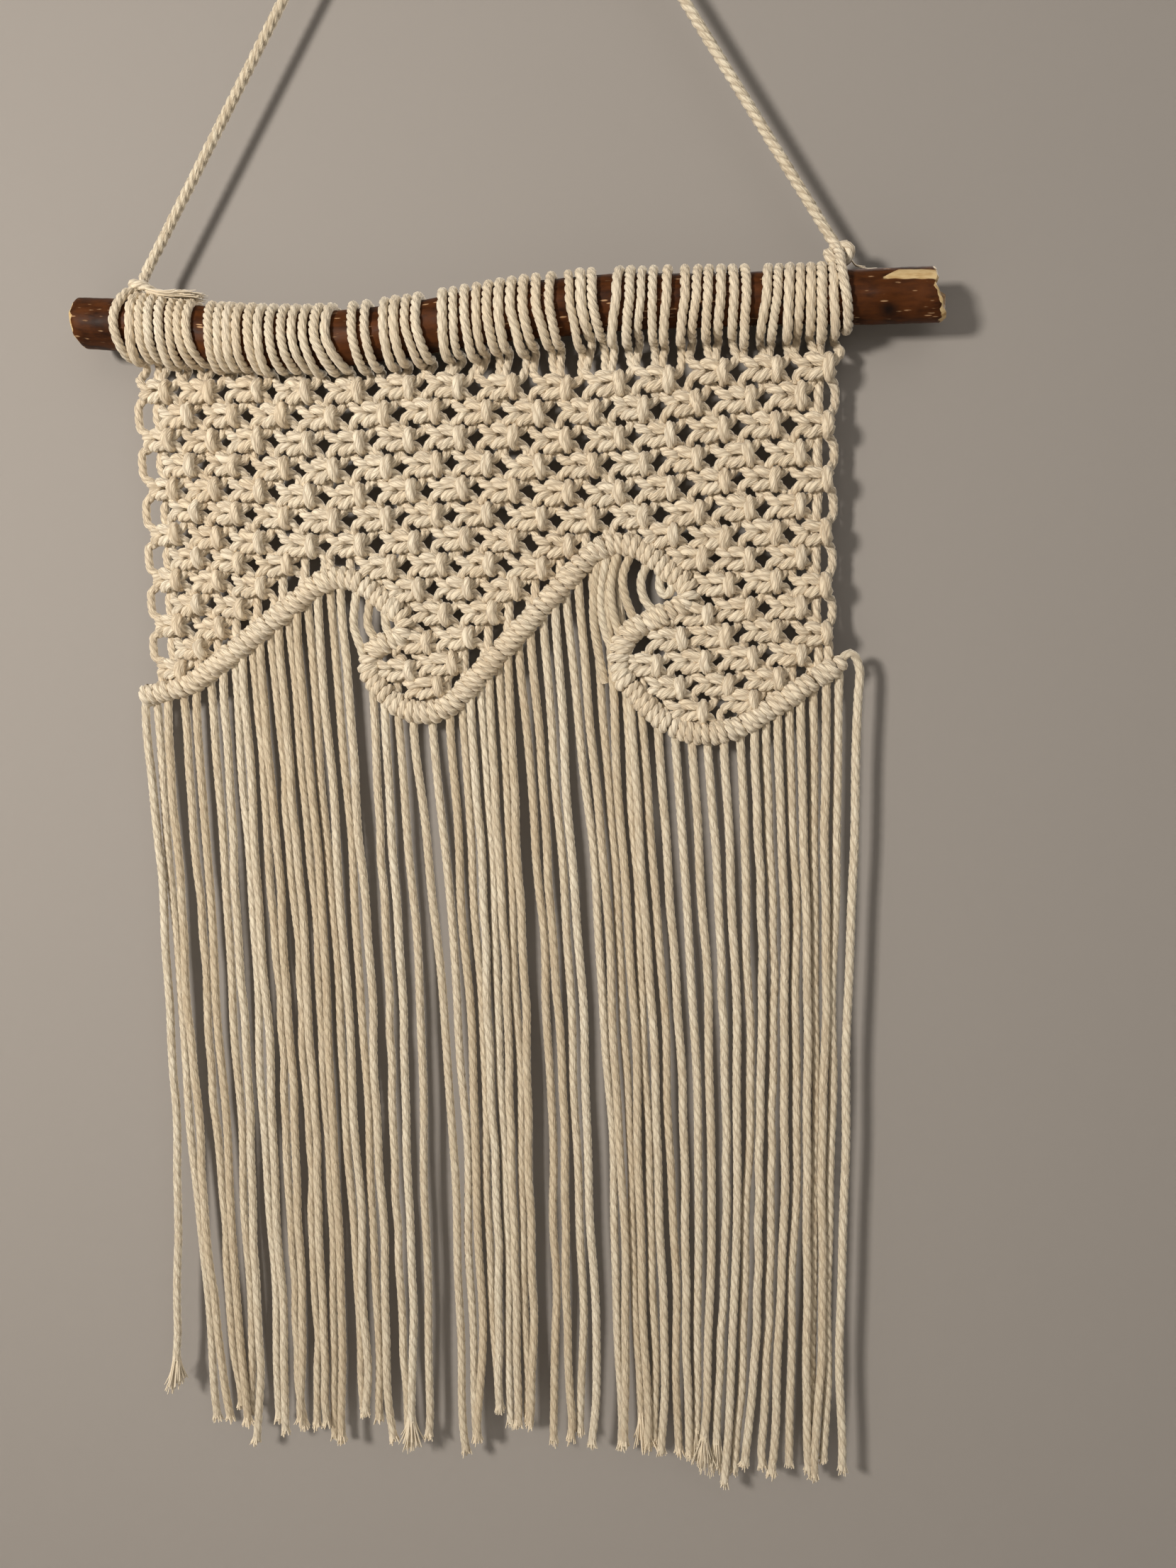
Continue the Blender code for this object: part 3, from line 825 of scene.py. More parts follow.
@dataclass
class BarLine:
    """The waving line of the hitched bar, a belt laid round pegs."""

    start: tuple[float, float] = (-121.0, -313.5)
    end: tuple[float, float] = (122.0, -299.5)
    foot: Peg = Peg(-113.0, -283.0, 28.0, 1)
    waves: tuple[Wave, ...] = (Wave(-48.0, -274.0, 30.0), Wave(45.5, -265.0, 46.0))
    crest_radius: float = 15.0
    curl_reach: float = 18.0
    curl_radius: float = 4.6
    curl_drop: float = 1.0
    step: float = 0.8
    arc_step: float = math.radians(9)

    def __post_init__(self) -> None:
        """Lay the belt and read it at even steps as x, z and heading."""
        pegs = [Peg(*self.start, 0, 1), self.foot]
        for wave in self.waves:
            pegs += self.wave_pegs(wave)
        pegs.append(Peg(*self.end, 0, 1))
        headings = [self.tangent(a, b) for a, b in zip(pegs, pegs[1:])]
        points = [self.rim(pegs[0], headings[0])]
        for peg, into, out in zip(pegs[1:], headings, headings[1:]):
            turn = (out - into) % TURN - (TURN if peg.turn < 0 else 0)
            steps = max(2, round(abs(turn) / self.arc_step))
            points += [self.rim(peg, into + turn * i / steps) for i in range(steps + 1)]
        points.append(self.rim(pegs[-1], headings[-1]))
        line = np.array(points)
        along = distances(line)
        self.along = np.linspace(0, along[-1], round(along[-1] / self.step) + 1)
        self.line = np.stack([np.interp(self.along, along, line[:, k]) for k in (0, 1)], 1)
        slope = np.gradient(self.line, axis=0)
        self.tangents = slope / np.linalg.norm(slope, axis=1)[:, None]

    def wave_pegs(self, wave: Wave) -> tuple[Peg, ...]:
        """Find the pegs of one wave.

        Args:
            wave: The wave.

        Returns:
            Its crest, curl, back and hollow.
        """
        depth, middle_z = wave.depth, wave.crest_z - self.crest_radius
        back_x = wave.crest_x + 1.5 * self.curl_reach - 0.32 * depth
        return (
            Peg(wave.crest_x, middle_z, self.crest_radius, -1),
            Peg(wave.crest_x + self.curl_reach, middle_z - self.curl_drop, self.curl_radius, -1),
            Peg(back_x, middle_z - 0.48 * depth, 0.27 * depth, 1),
            Peg(back_x + 0.35 * depth, middle_z - 0.46 * depth, 0.54 * depth, 1),
        )

    @staticmethod
    def tangent(a: Peg, b: Peg) -> float:
        """Find the straight run of belt between two pegs.

        Args:
            a: The first peg.
            b: The peg after it.

        Returns:
            The heading from a to b.
        """
        dx, dz = b.x - a.x, b.z - a.z
        side = a.turn * a.radius - b.turn * b.radius
        return math.atan2(dz, dx) + math.asin(side / math.hypot(dx, dz))

    @staticmethod
    def rim(peg: Peg, heading: float) -> tuple[float, float]:
        """The point of a peg's rim where the belt runs along heading."""
        out = peg.turn * peg.radius
        return peg.x + out * math.sin(heading), peg.z - out * math.cos(heading)

    def heights(self, x: float) -> list[float]:
        """Find where the line crosses an upright.

        Args:
            x: Where the upright stands.

        Returns:
            The heights of the crossings, from the highest to the lowest.
        """
        a, b = self.line[:-1], self.line[1:]
        crossed = (np.minimum(a[:, 0], b[:, 0]) <= x) & (x < np.maximum(a[:, 0], b[:, 0]))
        found = a[:, 1] + (b[:, 1] - a[:, 1]) * (x - a[:, 0]) / (b[:, 0] - a[:, 0] + 1e-12)
        return sorted(found[crossed].tolist(), reverse=True)

    def nearest(self, x: float, z: float) -> tuple[int, float]:
        """Find the line's nearest point to a place.

        Args:
            x: The place's x.
            z: Its height.

        Returns:
            The point's number and how far it is, negative on the fringe's side.
        """
        away = np.array([x, z]) - self.line
        i = int(np.argmin((away**2).sum(axis=1)))
        side = self.tangents[i][0] * away[i][1] - self.tangents[i][1] * away[i][0]
        return i, math.copysign(float(np.linalg.norm(away[i])), side)


# ---- Knots -----------------------------------------------------------------------------------
class Role(Enum):
    """A cord's part in a square knot, in the order from left to right."""

    LEFT_WORKER = 0
    LEFT_CORE = 1
    RIGHT_CORE = 2
    RIGHT_WORKER = 3


# The four cords of one square knot, from the top down: x, z, y towards the back, and the shares of the
# full thickness and of the full twist. The left worker loops round behind and shows as the upright bump.
KNOT = {
    Role.LEFT_WORKER: (
        (-7.45, 4.2, 0.7, 0.87, 1.0), (-6.9, 3.1, -0.2, 0.89, 1.0), (-6.1, 2.15, -1.2, 0.93, 1.0),
        (-4.9, 1.4, -2.0, 0.95, 1.0), (-3.55, 0.95, -1.9, 0.91, 1.0), (-2.5, 0.55, -0.5, 0.83, 1.0),
        (-1.65, 0.45, 0.85, 0.79, 1.0), (-0.4, 0.55, 1.95, 0.84, 1.0), (1.55, 0.85, 2.3, 0.87, 1.0),
        (3.15, 1.8, 1.95, 0.85, 1.0), (3.65, 2.8, 0.9, 0.85, 1.0), (3.55, 2.8, -1.3, 0.96, 0.5),
        (3.55, 1.9, -2.8, 1.08, 0.4), (3.55, 0.1, -3.4, 1.12, 0.4), (3.7, -1.8, -2.9, 1.08, 0.4),
        (3.85, -2.8, -1.4, 0.96, 0.5), (3.75, -2.8, 0.9, 0.85, 1.0), (3.05, -1.8, 1.85, 0.85, 1.0),
        (1.45, -0.95, 2.25, 0.87, 1.0), (-0.6, -0.55, 1.95, 0.84, 1.0), (-1.75, -0.45, 0.85, 0.79, 1.0),
        (-2.5, -0.55, -0.5, 0.83, 1.0), (-3.45, -0.95, -1.8, 0.91, 1.1), (-4.9, -1.4, -2.0, 0.95, 1.1),
        (-6.1, -2.15, -1.3, 0.93, 1.1), (-6.9, -3.0, -0.3, 0.89, 1.1), (-7.45, -4.2, 0.6, 0.87, 1.0),
    ),
    Role.LEFT_CORE: (
        (-0.85, 4.2, 0.7, 0.87, 1.0), (-0.85, 2.45, 0.8, 0.81, 1.0), (-0.85, 0.0, 0.8, 0.79, 1.0),
        (-0.85, -2.45, 0.8, 0.81, 1.0), (-0.85, -4.2, 0.7, 0.87, 1.0),
    ),
    Role.RIGHT_CORE: (
        (0.85, 4.2, 0.6, 0.87, 1.0), (0.85, 2.45, 0.8, 0.81, 1.0), (0.85, 0.0, 0.8, 0.79, 1.0),
        (0.85, -2.45, 0.8, 0.81, 1.0), (0.85, -4.2, 0.7, 0.87, 1.0),
    ),
    Role.RIGHT_WORKER: (
        (7.45, 4.2, 0.7, 0.87, 1.0), (6.7, 3.1, 0.5, 0.90, 1.0), (5.8, 2.15, 0.0, 0.92, 1.0),
        (4.9, 1.4, -0.5, 0.93, 1.0), (3.55, 1.15, -1.0, 0.95, 0.8), (2.2, 1.4, -1.6, 1.02, 0.55),
        (0.6, 1.8, -2.1, 1.08, 0.5), (-1.05, 2.25, -2.2, 1.08, 0.5), (-2.2, 2.55, -1.7, 1.00, 0.5),
        (-3.0, 2.45, -0.3, 0.87, 1.0), (-3.15, 1.6, 0.9, 0.81, 1.0), (-3.15, 0.0, 0.95, 0.79, 1.0),
        (-3.05, -1.5, 0.9, 0.81, 1.0), (-3.0, -2.35, -0.3, 0.87, 1.3), (-2.2, -2.65, -1.7, 1.00, 1.3),
        (-0.85, -2.25, -2.2, 1.08, 1.3), (0.85, -1.8, -2.1, 1.08, 1.3), (2.3, -1.4, -1.6, 1.02, 1.3),
        (3.65, -1.15, -1.0, 0.95, 1.3), (4.9, -1.3, -0.5, 0.93, 1.1), (5.8, -2.15, 0.0, 0.92, 1.0),
        (6.7, -3.1, 0.5, 0.90, 1.0), (7.45, -4.2, 0.7, 0.87, 1.0),
    ),
}  # fmt: skip


class Column(NamedTuple):
    """A column of knots: x and z of the first, and how a knot n rows down is moved, by n and by n squared."""

    x: float
    z: float
    over: float
    over_more: float
    down: float
    down_more: float


# Knots that the curls of the bar push aside: row and column, then x and z.
PUSHED = {
    (8, 4): (-33.8, -271.0), (9, 5): (-24.7, -278.6), (10, 5): (-15.9, -286.3), (11, 5): (-22.3, -295.7),
    (12, 4): (-28.5, -304.8), (12, 5): (-13.6, -302.9), (13, 5): (-18.9, -310.6),
    (7, 10): (59.4, -262.8), (8, 10): (68.5, -270.0), (9, 11): (77.2, -278.5), (10, 10): (70.2, -287.8),
    (11, 10): (62.0, -295.5), (12, 9): (54.1, -303.7), (12, 10): (69.5, -303.0), (13, 10): (61.5, -310.9),
    (14, 11): (85.4, -315.4),
}  # fmt: skip


# How the outermost cords enter an odd row's edge knots, like KNOT; they leave them the same way, upside down.
EDGE_ARMS = {
    Role.LEFT_WORKER: ((-5.7, 2.5, 0.3, 0.92, 1.0), (-5.3, 1.7, -0.4, 0.92, 1.0)),
    Role.RIGHT_WORKER: ((4.5, 3.3, 0.3, 0.92, 1.0), (4.1, 2.5, -0.4, 0.92, 1.0)),
}


class EdgeFloat(NamedTuple):
    """How an edge cord passes a row: shares of the way down with x off the knots' line, y and thickness."""

    way: tuple[tuple[float, float], ...]
    back: float
    share: float


EDGE_FLOATS = {
    Role.LEFT_WORKER: EdgeFloat(((0.24, -7.4), (0.5, -7.9), (0.76, -7.4)), 0.2, 0.84),
    Role.LEFT_CORE: EdgeFloat(((0.4, -1.5), (0.6, -1.5)), 0.9, 0.95),
    Role.RIGHT_CORE: EdgeFloat(((0.4, 0.6), (0.6, 0.6)), -0.1, 0.95),
    Role.RIGHT_WORKER: EdgeFloat(((0.32, 5.6), (0.68, 5.6)), 2.2, 0.88),
}


@dataclass
class Net:
    """The net of alternating square knots between the rod and the hitched bar."""

    bar: BarLine
    columns: tuple[Column, ...] = (
        Column(-109.5, -211.6, 0.28, -0.010, -7.98, 0.026),
        Column(-94.0, -212.0, 0.16, -0.010, -8.05, 0.027),
        Column(-77.7, -212.6, -0.04, -0.006, -8.18, 0.026),
        Column(-60.7, -213.6, -0.11, -0.002, -8.38, 0.021),
        Column(-43.5, -213.6, -0.05, 0.003, -8.49, 0.017),
        Column(-26.2, -213.1, 0.04, 0.006, -8.40, 0.018),
        Column(-9.3, -213.2, 0.07, 0.006, -8.29, 0.020),
        Column(7.8, -214.3, 0.02, 0.005, -8.27, 0.022),
        Column(25.3, -215.4, -0.02, 0.005, -8.39, 0.022),
        Column(42.6, -215.0, -0.05, 0.008, -8.53, 0.025),
        Column(58.6, -214.0, -0.09, 0.012, -8.57, 0.031),
        Column(75.3, -212.9, -0.05, 0.016, -8.60, 0.042),
        Column(91.6, -212.7, -0.08, 0.017, -8.63, 0.055),
        Column(107.5, -212.5, -0.14, 0.014, -8.79, 0.063),
    )
    rows: int = 15
    pitch_x: float = 16.7
    pitch_z: float = 8.4
    probes: tuple[tuple[float, float], ...] = ((4.0, 2.0), (4.0, -2.0), (-3.4, 2.0), (-3.4, -2.0))
    clear_of_bar: float = 2.3
    seed: int = 7
    jitter: float = 0.3
    lean: float = 0.06
    unevenness: float = 0.17
    thickness: float = 0.035
    knot_top: float = 4.5
    near_bar: float = 4.0
    at_bar: float = 0.9

    def __post_init__(self) -> None:
        """Settle where every knot sits, a little unevenly, and which there is room for."""
        draw = np.random.default_rng(self.seed)
        self.draw = np.random.default_rng(self.seed + 2)
        self.knots_wide = len(self.columns)
        self.edges = {Role.LEFT_WORKER: 0, Role.RIGHT_WORKER: self.knots_wide - 1}
        self.places: dict[tuple[int, int], tuple[float, ...]] = {}
        for row in range(1, self.rows + 1):
            for column in range(self.knots_wide - (row % 2 == 0)):
                x, z = self.place(row, column)
                nudge = draw.normal(0, self.jitter, 2)
                lean = draw.normal(0, self.lean)
                wide = (self.place(row, column + 0.5)[0] - self.place(row, column - 0.5)[0]) / self.pitch_x
                tall = (self.place(row - 1, column)[1] - self.place(row + 1, column)[1]) / self.pitch_z / 2
                room = min(self.bar.nearest(x + px, z + pz)[1] for px, pz in self.probes)
                if (row, column) in PUSHED:
                    (x, z), nudge = PUSHED[row, column], (0, 0)
                if room > self.clear_of_bar or (row, column) in PUSHED:
                    self.places[row, column] = (x + nudge[0], z + nudge[1], lean, wide, tall)

    def place(self, row: int, column: float) -> tuple[float, float]:
        """Find the middle of a knot before it is nudged; even rows are half a knot to the right.

        Args:
            row: Its row, from 1.
            column: Its column, from 0, which may be half-way or one past an edge.

        Returns:
            Its x and z.
        """
        n, last = row - 1, len(self.columns) - 1
        at = column + (0.5 if row % 2 == 0 else 0)
        edge = min(max(at, 0), last)
        found = []
        for values in (
            [c.x + c.over * n + c.over_more * n * n for c in self.columns],
            [c.z + c.down * n + c.down_more * n * n for c in self.columns],
        ):
            inner, rim = np.interp((2 * edge - at, edge), range(last + 1), values)
            found.append(float(2 * rim - inner))
        return found[0], found[1]

    def above(self, row: int, column: int, slot: int) -> tuple[int, int, int]:
        """Find where a knot's cord comes from.

        Args:
            row: The knot's row.
            column: Its column.
            slot: The number of the cord's role in it.

        Returns:
            The row, column and role above, which are two rows up along an edge of the net.
        """
        over = column - (row % 2) + (slot > 1)
        if row % 2 and not 0 <= over < self.knots_wide - 1:
            return row - 2, column, slot
        return row - 1, over, (slot + 2) % 4

    def passed(self, run: Run, row: int, column: int, role: Role) -> None:
        """Lead a cord through one knot.

        Args:
            run: The cord.
            row: The knot's row.
            column: Its column.
            role: The cord's part in it.
        """
        x, z, lean, wide, tall = self.places[row, column]
        slack = self.draw.normal(0, self.unevenness, (len(KNOT[role]), 3))
        full = 1 + self.draw.normal(0, self.thickness)
        way = KNOT[role]
        if row % 2 and self.edges.get(role) == column:
            arm = EDGE_ARMS[role]
            tail = tuple((px, -pz, *rest) for px, pz, *rest in reversed(arm))
            way = (way[:2] if row == 1 else arm) + way[3:-3] + tail
        for (px, pz, py, share, twist), (sx, sz, sy) in zip(way, slack):
            dx, dz = px * wide + sx, pz * tall + sz
            run.add(x + dx - lean * dz, NET_Y + py + sy, z + dz + lean * dx, share * full, twist)

    def edge_float(self, run: Run, row: int, column: int, role: Role) -> None:
        """Lead a cord down an edge of the net, past the row that has no knot there.

        Args:
            run: The cord.
            row: The row of the knot that it leaves.
            column: The column of that knot.
            role: The cord's part in it.
        """
        x, z = self.places[row, column][:2]
        next_x, next_z = self.place(row + 2, column)
        loose = EDGE_FLOATS[role]
        for down, out in loose.way:
            run.add(x + (next_x - x) * down + out, NET_Y + loose.back, z + (next_z - z) * down, loose.share)

    def cords(self, legs: list[Run]) -> list[Run]:
        """Lead every cord down through the knots that it belongs to.

        Args:
            legs: The cords that hang from the rod, from left to right.

        Returns:
            All the cords of the net: the legs led on to the bar, and the cords that start from
            the bar where it curls over the net.
        """
        led: dict[tuple[int, int, int], Run] = {}
        others: list[Run] = []
        draw = np.random.default_rng(self.seed + 1)
        for row, column in sorted(self.places):
            for role in Role:
                if row == 1:
                    run = legs[4 * column + role.value]
                else:
                    source = self.above(row, column, role.value)
                    run = led.pop(source, None)
                    if run is None:
                        run = Run([], [], float(draw.random()), float(draw.random() * TURN))
                        self.from_bar(run, row, column, role)
                        others.append(run)
                    elif source[0] == row - 2:
                        self.edge_float(run, row - 2, column, role)
                if not run.pieces or not run.pieces[-1][1].startswith("net"):
                    side = "left" if self.places[row, column][0] < -2 else "right"
                    run.pieces.append((len(run.points), f"net_{side}"))
                self.passed(run, row, column, role)
                led[row, column, role.value] = run
        for run in led.values():
            self.to_bar(run)
        return legs + others

    def from_bar(self, run: Run, row: int, column: int, role: Role) -> None:
        """Start a cord at the bar above a knot.

        Args:
            run: The cord.
            row: The knot's row.
            column: Its column.
            role: The cord's part in it.
        """
        x, z, _, wide, _ = self.places[row, column]
        top_x, top_z = x + KNOT[role][0][0] * wide, z + self.knot_top
        over = [h for h in self.bar.heights(top_x) if h > top_z - self.near_bar]
        start = over[-1] if over else top_z + self.near_bar
        run.add(top_x, NET_Y, start, self.at_bar)
        if start - top_z > 5:
            run.add(top_x, NET_Y + 0.5, (start + top_z) / 2, 0.97)

    def to_bar(self, run: Run) -> None:
        """Lead a cord from its last knot into the bar: straight down, or sideways where that is far shorter.

        Args:
            run: The cord.
        """
        x, _, z = run.points[-1][:3]
        i, away = self.bar.nearest(x, z)
        goal_x, goal_z = self.bar.line[i]
        below = [h for h in self.bar.heights(x) if h < z + 1]
        if below and z - below[0] < away + 9:
            goal_x, goal_z = x, below[0]
        if math.hypot(goal_x - x, goal_z - z) > 3:
            run.add((x + goal_x) / 2, NET_Y + 0.3, (z + goal_z) / 2, 0.95)
        run.add(goal_x, NET_Y, goal_z, self.at_bar)


# ---- Reverse lark's heads --------------------------------------------------------------------
class Turn(NamedTuple):
    """One turn round the rod: its x on top, in front and below, and how far it hangs down."""

    top: float
    front: float
    below: float
    drop: float


@dataclass
class LarksHeads:
    """The folded cords on the rod: each passes round it twice and hangs as two legs."""

    branch: Branch
    turns: tuple[Turn, ...] = tuple(
        Turn(*t)
        for t in (
            (-112.3, -112.1, -114.5, 12.6), (-109.2, -108.9, -110.3, 11.6), (-106.5, -105.9, -107.2, 11.2),
            (-103.4, -102.2, -103.0, 12.8), (-100.0, -98.6, -99.8, 11.8), (-96.8, -95.7, -95.3, 11.5),
            (-93.4, -92.7, -91.4, 10.8), (-87.0, -85.3, -86.5, 12.1), (-83.4, -82.2, -83.8, 11.3),
            (-80.4, -79.1, -80.7, 11.0), (-77.1, -76.0, -77.1, 11.2), (-73.2, -72.0, -72.2, 11.6),
            (-69.6, -68.7, -69.6, 12.1), (-66.0, -64.9, -64.7, 11.5), (-61.8, -61.0, -60.2, 11.2),
            (-58.3, -57.4, -56.2, 11.0), (-54.4, -53.8, -52.2, 12.4), (-50.3, -50.0, -46.9, 12.0),
            (-46.4, -46.3, -42.9, 11.3), (-39.6, -37.6, -36.7, 12.2), (-34.9, -33.4, -32.6, 11.9),
            (-28.9, -27.4, -27.2, 12.4), (-25.4, -24.0, -23.4, 11.7), (-21.6, -20.4, -18.2, 12.6),
            (-17.9, -16.9, -15.2, 11.6), (-10.1, -8.3, -9.1, 12.3), (-6.6, -4.8, -5.5, 11.8),
            (-2.9, -1.2, -0.6, 13.5), (1.1, 2.5, 2.4, 11.8), (5.1, 5.9, 6.7, 12.4), (8.8, 9.6, 10.0, 12.3),
            (12.5, 13.4, 15.5, 14.1), (16.4, 17.3, 18.6, 12.2), (20.1, 21.5, 23.9, 12.9),
            (25.2, 25.6, 27.0, 12.9), (30.2, 32.0, 33.8, 14.6), (34.0, 35.5, 36.9, 11.0),
            (37.6, 39.0, 40.6, 11.6), (47.0, 46.3, 44.0, 13.7), (50.2, 50.4, 48.6, 14.0),
            (53.8, 53.9, 52.2, 11.4), (57.3, 57.4, 56.9, 13.7), (61.7, 61.7, 60.2, 13.8),
            (66.8, 67.3, 65.4, 14.0), (71.1, 70.7, 68.9, 11.6), (74.4, 74.2, 73.3, 13.0),
            (77.9, 78.1, 77.0, 11.2), (81.1, 82.1, 81.4, 12.1), (84.8, 85.8, 85.0, 15.0),
            (92.4, 91.8, 90.0, 12.1), (95.7, 95.0, 93.4, 13.2), (98.8, 98.4, 98.2, 13.3),
            (101.9, 101.7, 101.4, 11.2), (105.0, 104.9, 105.2, 11.6), (108.1, 108.1, 108.6, 13.5),
            (111.2, 111.6, 112.7, 12.6),
        )
    )  # fmt: skip
    seed: int = 4
    pressed: float = 0.95
    half: float = 1.4
    share: float = 0.91
    twist: float = 1.2
    stops: tuple[int, ...] = (96, 66, 33, 0, -33, -66, -100, -130)
    under: tuple[tuple[float, float, float], ...] = ((3.4, 0.8, 0.86), (5.6, -0.6, 0.84))
    bight: tuple[float, float, float] = (1.6, 0.88, -0.47)
    drop_y: float = 5.0
    free: float = 2.5

    def legs(self) -> list[Run]:
        """Lay every turn, from its hidden bight behind the rod to the leg below.

        Returns:
            One run for each leg, from left to right.
        """
        draw = np.random.default_rng(self.seed)
        runs, tint = [], 0.0
        for k, turn in enumerate(self.turns):
            partner = self.turns[k + 1] if k % 2 == 0 else self.turns[k - 1]
            z, radius = self.branch.at(turn.front)
            reach = radius + self.pressed
            if k % 2 == 0:
                tint = float(draw.random())
            side = "left" if turn.front < 0 else "right"
            run = Run([], [(0, f"larks_heads_{side}")], tint, float(draw.random() * TURN))
            share, twist = self.share * (1 + draw.normal(0, 0.05)), self.twist * draw.uniform(0.55, 1.15)
            out, back, up = self.bight
            run.add((turn.top + partner.top) / 2, (reach + out) * back, z + (reach + out) * up, 0.9)
            for degrees in self.stops:
                a = math.radians(degrees)
                if degrees >= 0:
                    x = turn.top
                elif degrees >= -100:
                    x = turn.top + (turn.front - turn.top) * math.sin(math.radians(-degrees * 0.9))
                else:
                    x = turn.front + (turn.below - turn.front) * 0.45
                out = reach + (1.2 if degrees > 60 else 0) + 0.35 * max(0, -degrees - 90) / 40
                run.add(x, out * math.sin(a), z + out * math.cos(a), share, twist)
            low = z - (turn.drop - self.half)
            run.add(turn.below - 0.15 * (turn.below - turn.front), -3.6, low + 1.0, share, twist)
            run.add(turn.below, 0.0, low, share, twist)
            for y, above, thin in self.under:
                run.add(turn.below, y, low + above, thin, twist)
            runs.append(run)
        return runs

    def drop(self, runs: list[Run], net: Net) -> None:
        """Lead each leg from behind the turns to the first row's knots.

        Args:
            runs: The legs, from left to right.
            net: The net that they go into.
        """
        for column in range(net.knots_wide):
            x, z, _, wide, tall = net.places[1, column]
            for role, run in zip(Role, runs[4 * column :]):
                px, pz = KNOT[role][0][:2]
                top_x, top_z = x + px * wide, z + pz * tall
                leg_x, _, leg_z = run.points[-1][:3]
                if leg_z - top_z > self.free:
                    run.add((leg_x + top_x) / 2, self.drop_y, (leg_z + top_z) / 2, 0.84, 1.1)


# ---- The hitched bar -------------------------------------------------------------------------
@dataclass
class HitchedBar:
    """The holding cord covered in double half hitches, two turns to a hitch."""

    line: BarLine
    pair_pitch: float = 5.35
    turn_gap: float = 2.6
    core_radius: float = 1.5
    turn_radius: float = 1.62
    reach: float = 2.3
    slant: float = 1.2
    forward: float = 1.1
    start: float = 1.5
    uncovered: float = 7.5
    core_short: float = 5.0
    narrowing: float = 10.0
    seed: int = 11

    def at(self, along: float) -> tuple[np.ndarray, np.ndarray, np.ndarray]:
        """Find where the bar is.

        Args:
            along: The distance along it.

        Returns:
            Its middle, its heading, and the upward side across it.
        """
        line = self.line
        x, z, run, rise = (np.interp(along, line.along, v) for v in (*line.line.T, *line.tangents.T))
        heading = np.array([run, 0, rise]) / math.hypot(run, rise)
        return np.array([x, NET_Y - self.forward, z]), heading, np.array([-heading[2], 0, heading[0]])

    def lay_into(self, cottons: dict[str, Cotton]) -> float:
        """Lay the holding cord and all the turns over it.

        Args:
            cottons: The pieces in the making, by name.

        Returns:
            The length of cord in the turns.
        """
        draw = np.random.default_rng(self.seed)
        total = self.line.along[-1]
        core_end, covered = total - self.core_short, total - self.uncovered
        line = self.line.line[self.line.along < core_end]
        core = [(*p, 1.0, 1.0) for p in np.insert(line[::4], 1, NET_Y, axis=1)]
        Run(core, [(0, "hitched_bar")], 0.5, 0).lay_into(cottons, Rope(radius=self.core_radius, step=1.6))
        pairs = round(covered / self.pair_pitch)
        rope = Rope(radius=self.turn_radius, lay=7.2, step=0.9)
        used = 0.0
        for pair in range(pairs):
            tint = float(draw.random())
            for turn in (-0.5, 0.5):
                along = self.start + (pair + 0.5) * covered / pairs + turn * self.turn_gap
                along += draw.normal(0, 0.2)
                middle, heading, up = self.at(float(np.clip(along, 0.6, total - 0.6)))
                reach = self.reach * (1 + draw.normal(0, 0.05))
                reach *= min(1, 0.55 + 0.45 * (core_end - along) / self.narrowing)
                slant, share = self.slant * (1 + draw.normal(0, 0.35)), 1 + draw.normal(0, 0.06)
                run = Run([], [(0, "hitched_bar")], tint, float(draw.random() * TURN))
                for degrees in range(-20, 361, 38):
                    a = math.radians(degrees)
                    across = reach * math.cos(a) * up + slant * (degrees - 170) / 380 * heading
                    depth = np.array([0, -reach * 1.02 * math.sin(a), 0])
                    run.add(*(middle + across + depth), share, 0.9)
                used += run.lay_into(cottons, rope)
        return used


# ---- The fringe ------------------------------------------------------------------------------
class Hank(NamedTuple):
    """Cords that hang together: x at the bar, half-way down and at the ends, and where they end."""

    cords: int
    top_0: float
    top_1: float
    middle_0: float
    middle_1: float
    end_0: float
    end_1: float
    end_z: float


# The short cords inside the curls, each as the points x, z that it passes.
CURL_CORDS = (
    ((-42.3, -277.5), (-42.7, -282.0), (-43.4, -290.0), (-41.2, -297.5), (-39.8, -303.0)),
    ((-37.6, -279.5), (-38.2, -285.0), (-38.5, -290.0), (-36.2, -294.6), (-34.6, -299.5)),
    ((-32.2, -281.5), (-32.6, -286.5), (-32.1, -291.0), (-29.9, -293.6), (-28.2, -291.5), (-28.4, -287.5)),
    ((39.0, -268.0), (37.6, -278.0), (37.2, -288.0), (38.4, -298.0), (40.6, -309.5)),
    ((42.2, -266.3), (40.2, -276.0), (39.6, -284.0), (41.0, -293.0), (43.8, -300.5)),
    ((45.4, -266.0), (43.2, -275.0), (43.0, -283.0), (44.8, -291.5), (47.0, -297.0)),
    ((49.3, -268.0), (46.8, -275.0), (47.4, -281.5), (49.2, -286.5), (51.2, -291.0)),
    ((54.7, -271.0), (52.6, -277.0), (53.6, -282.5), (55.8, -285.6), (58.0, -288.0)),
    ((59.2, -273.5), (58.6, -279.0), (60.4, -281.6), (62.3, -279.9), (62.2, -275.0)),
)


class Fray(NamedTuple):
    """An opened cord end: how many fibres, how long, and how far they spread for their length."""

    fibres: int
    length: float
    spread: float


FRAYS = {End.BRUSH: Fray(30, 3.6, 0.24), End.TASSEL: Fray(64, 12.0, 0.19)}


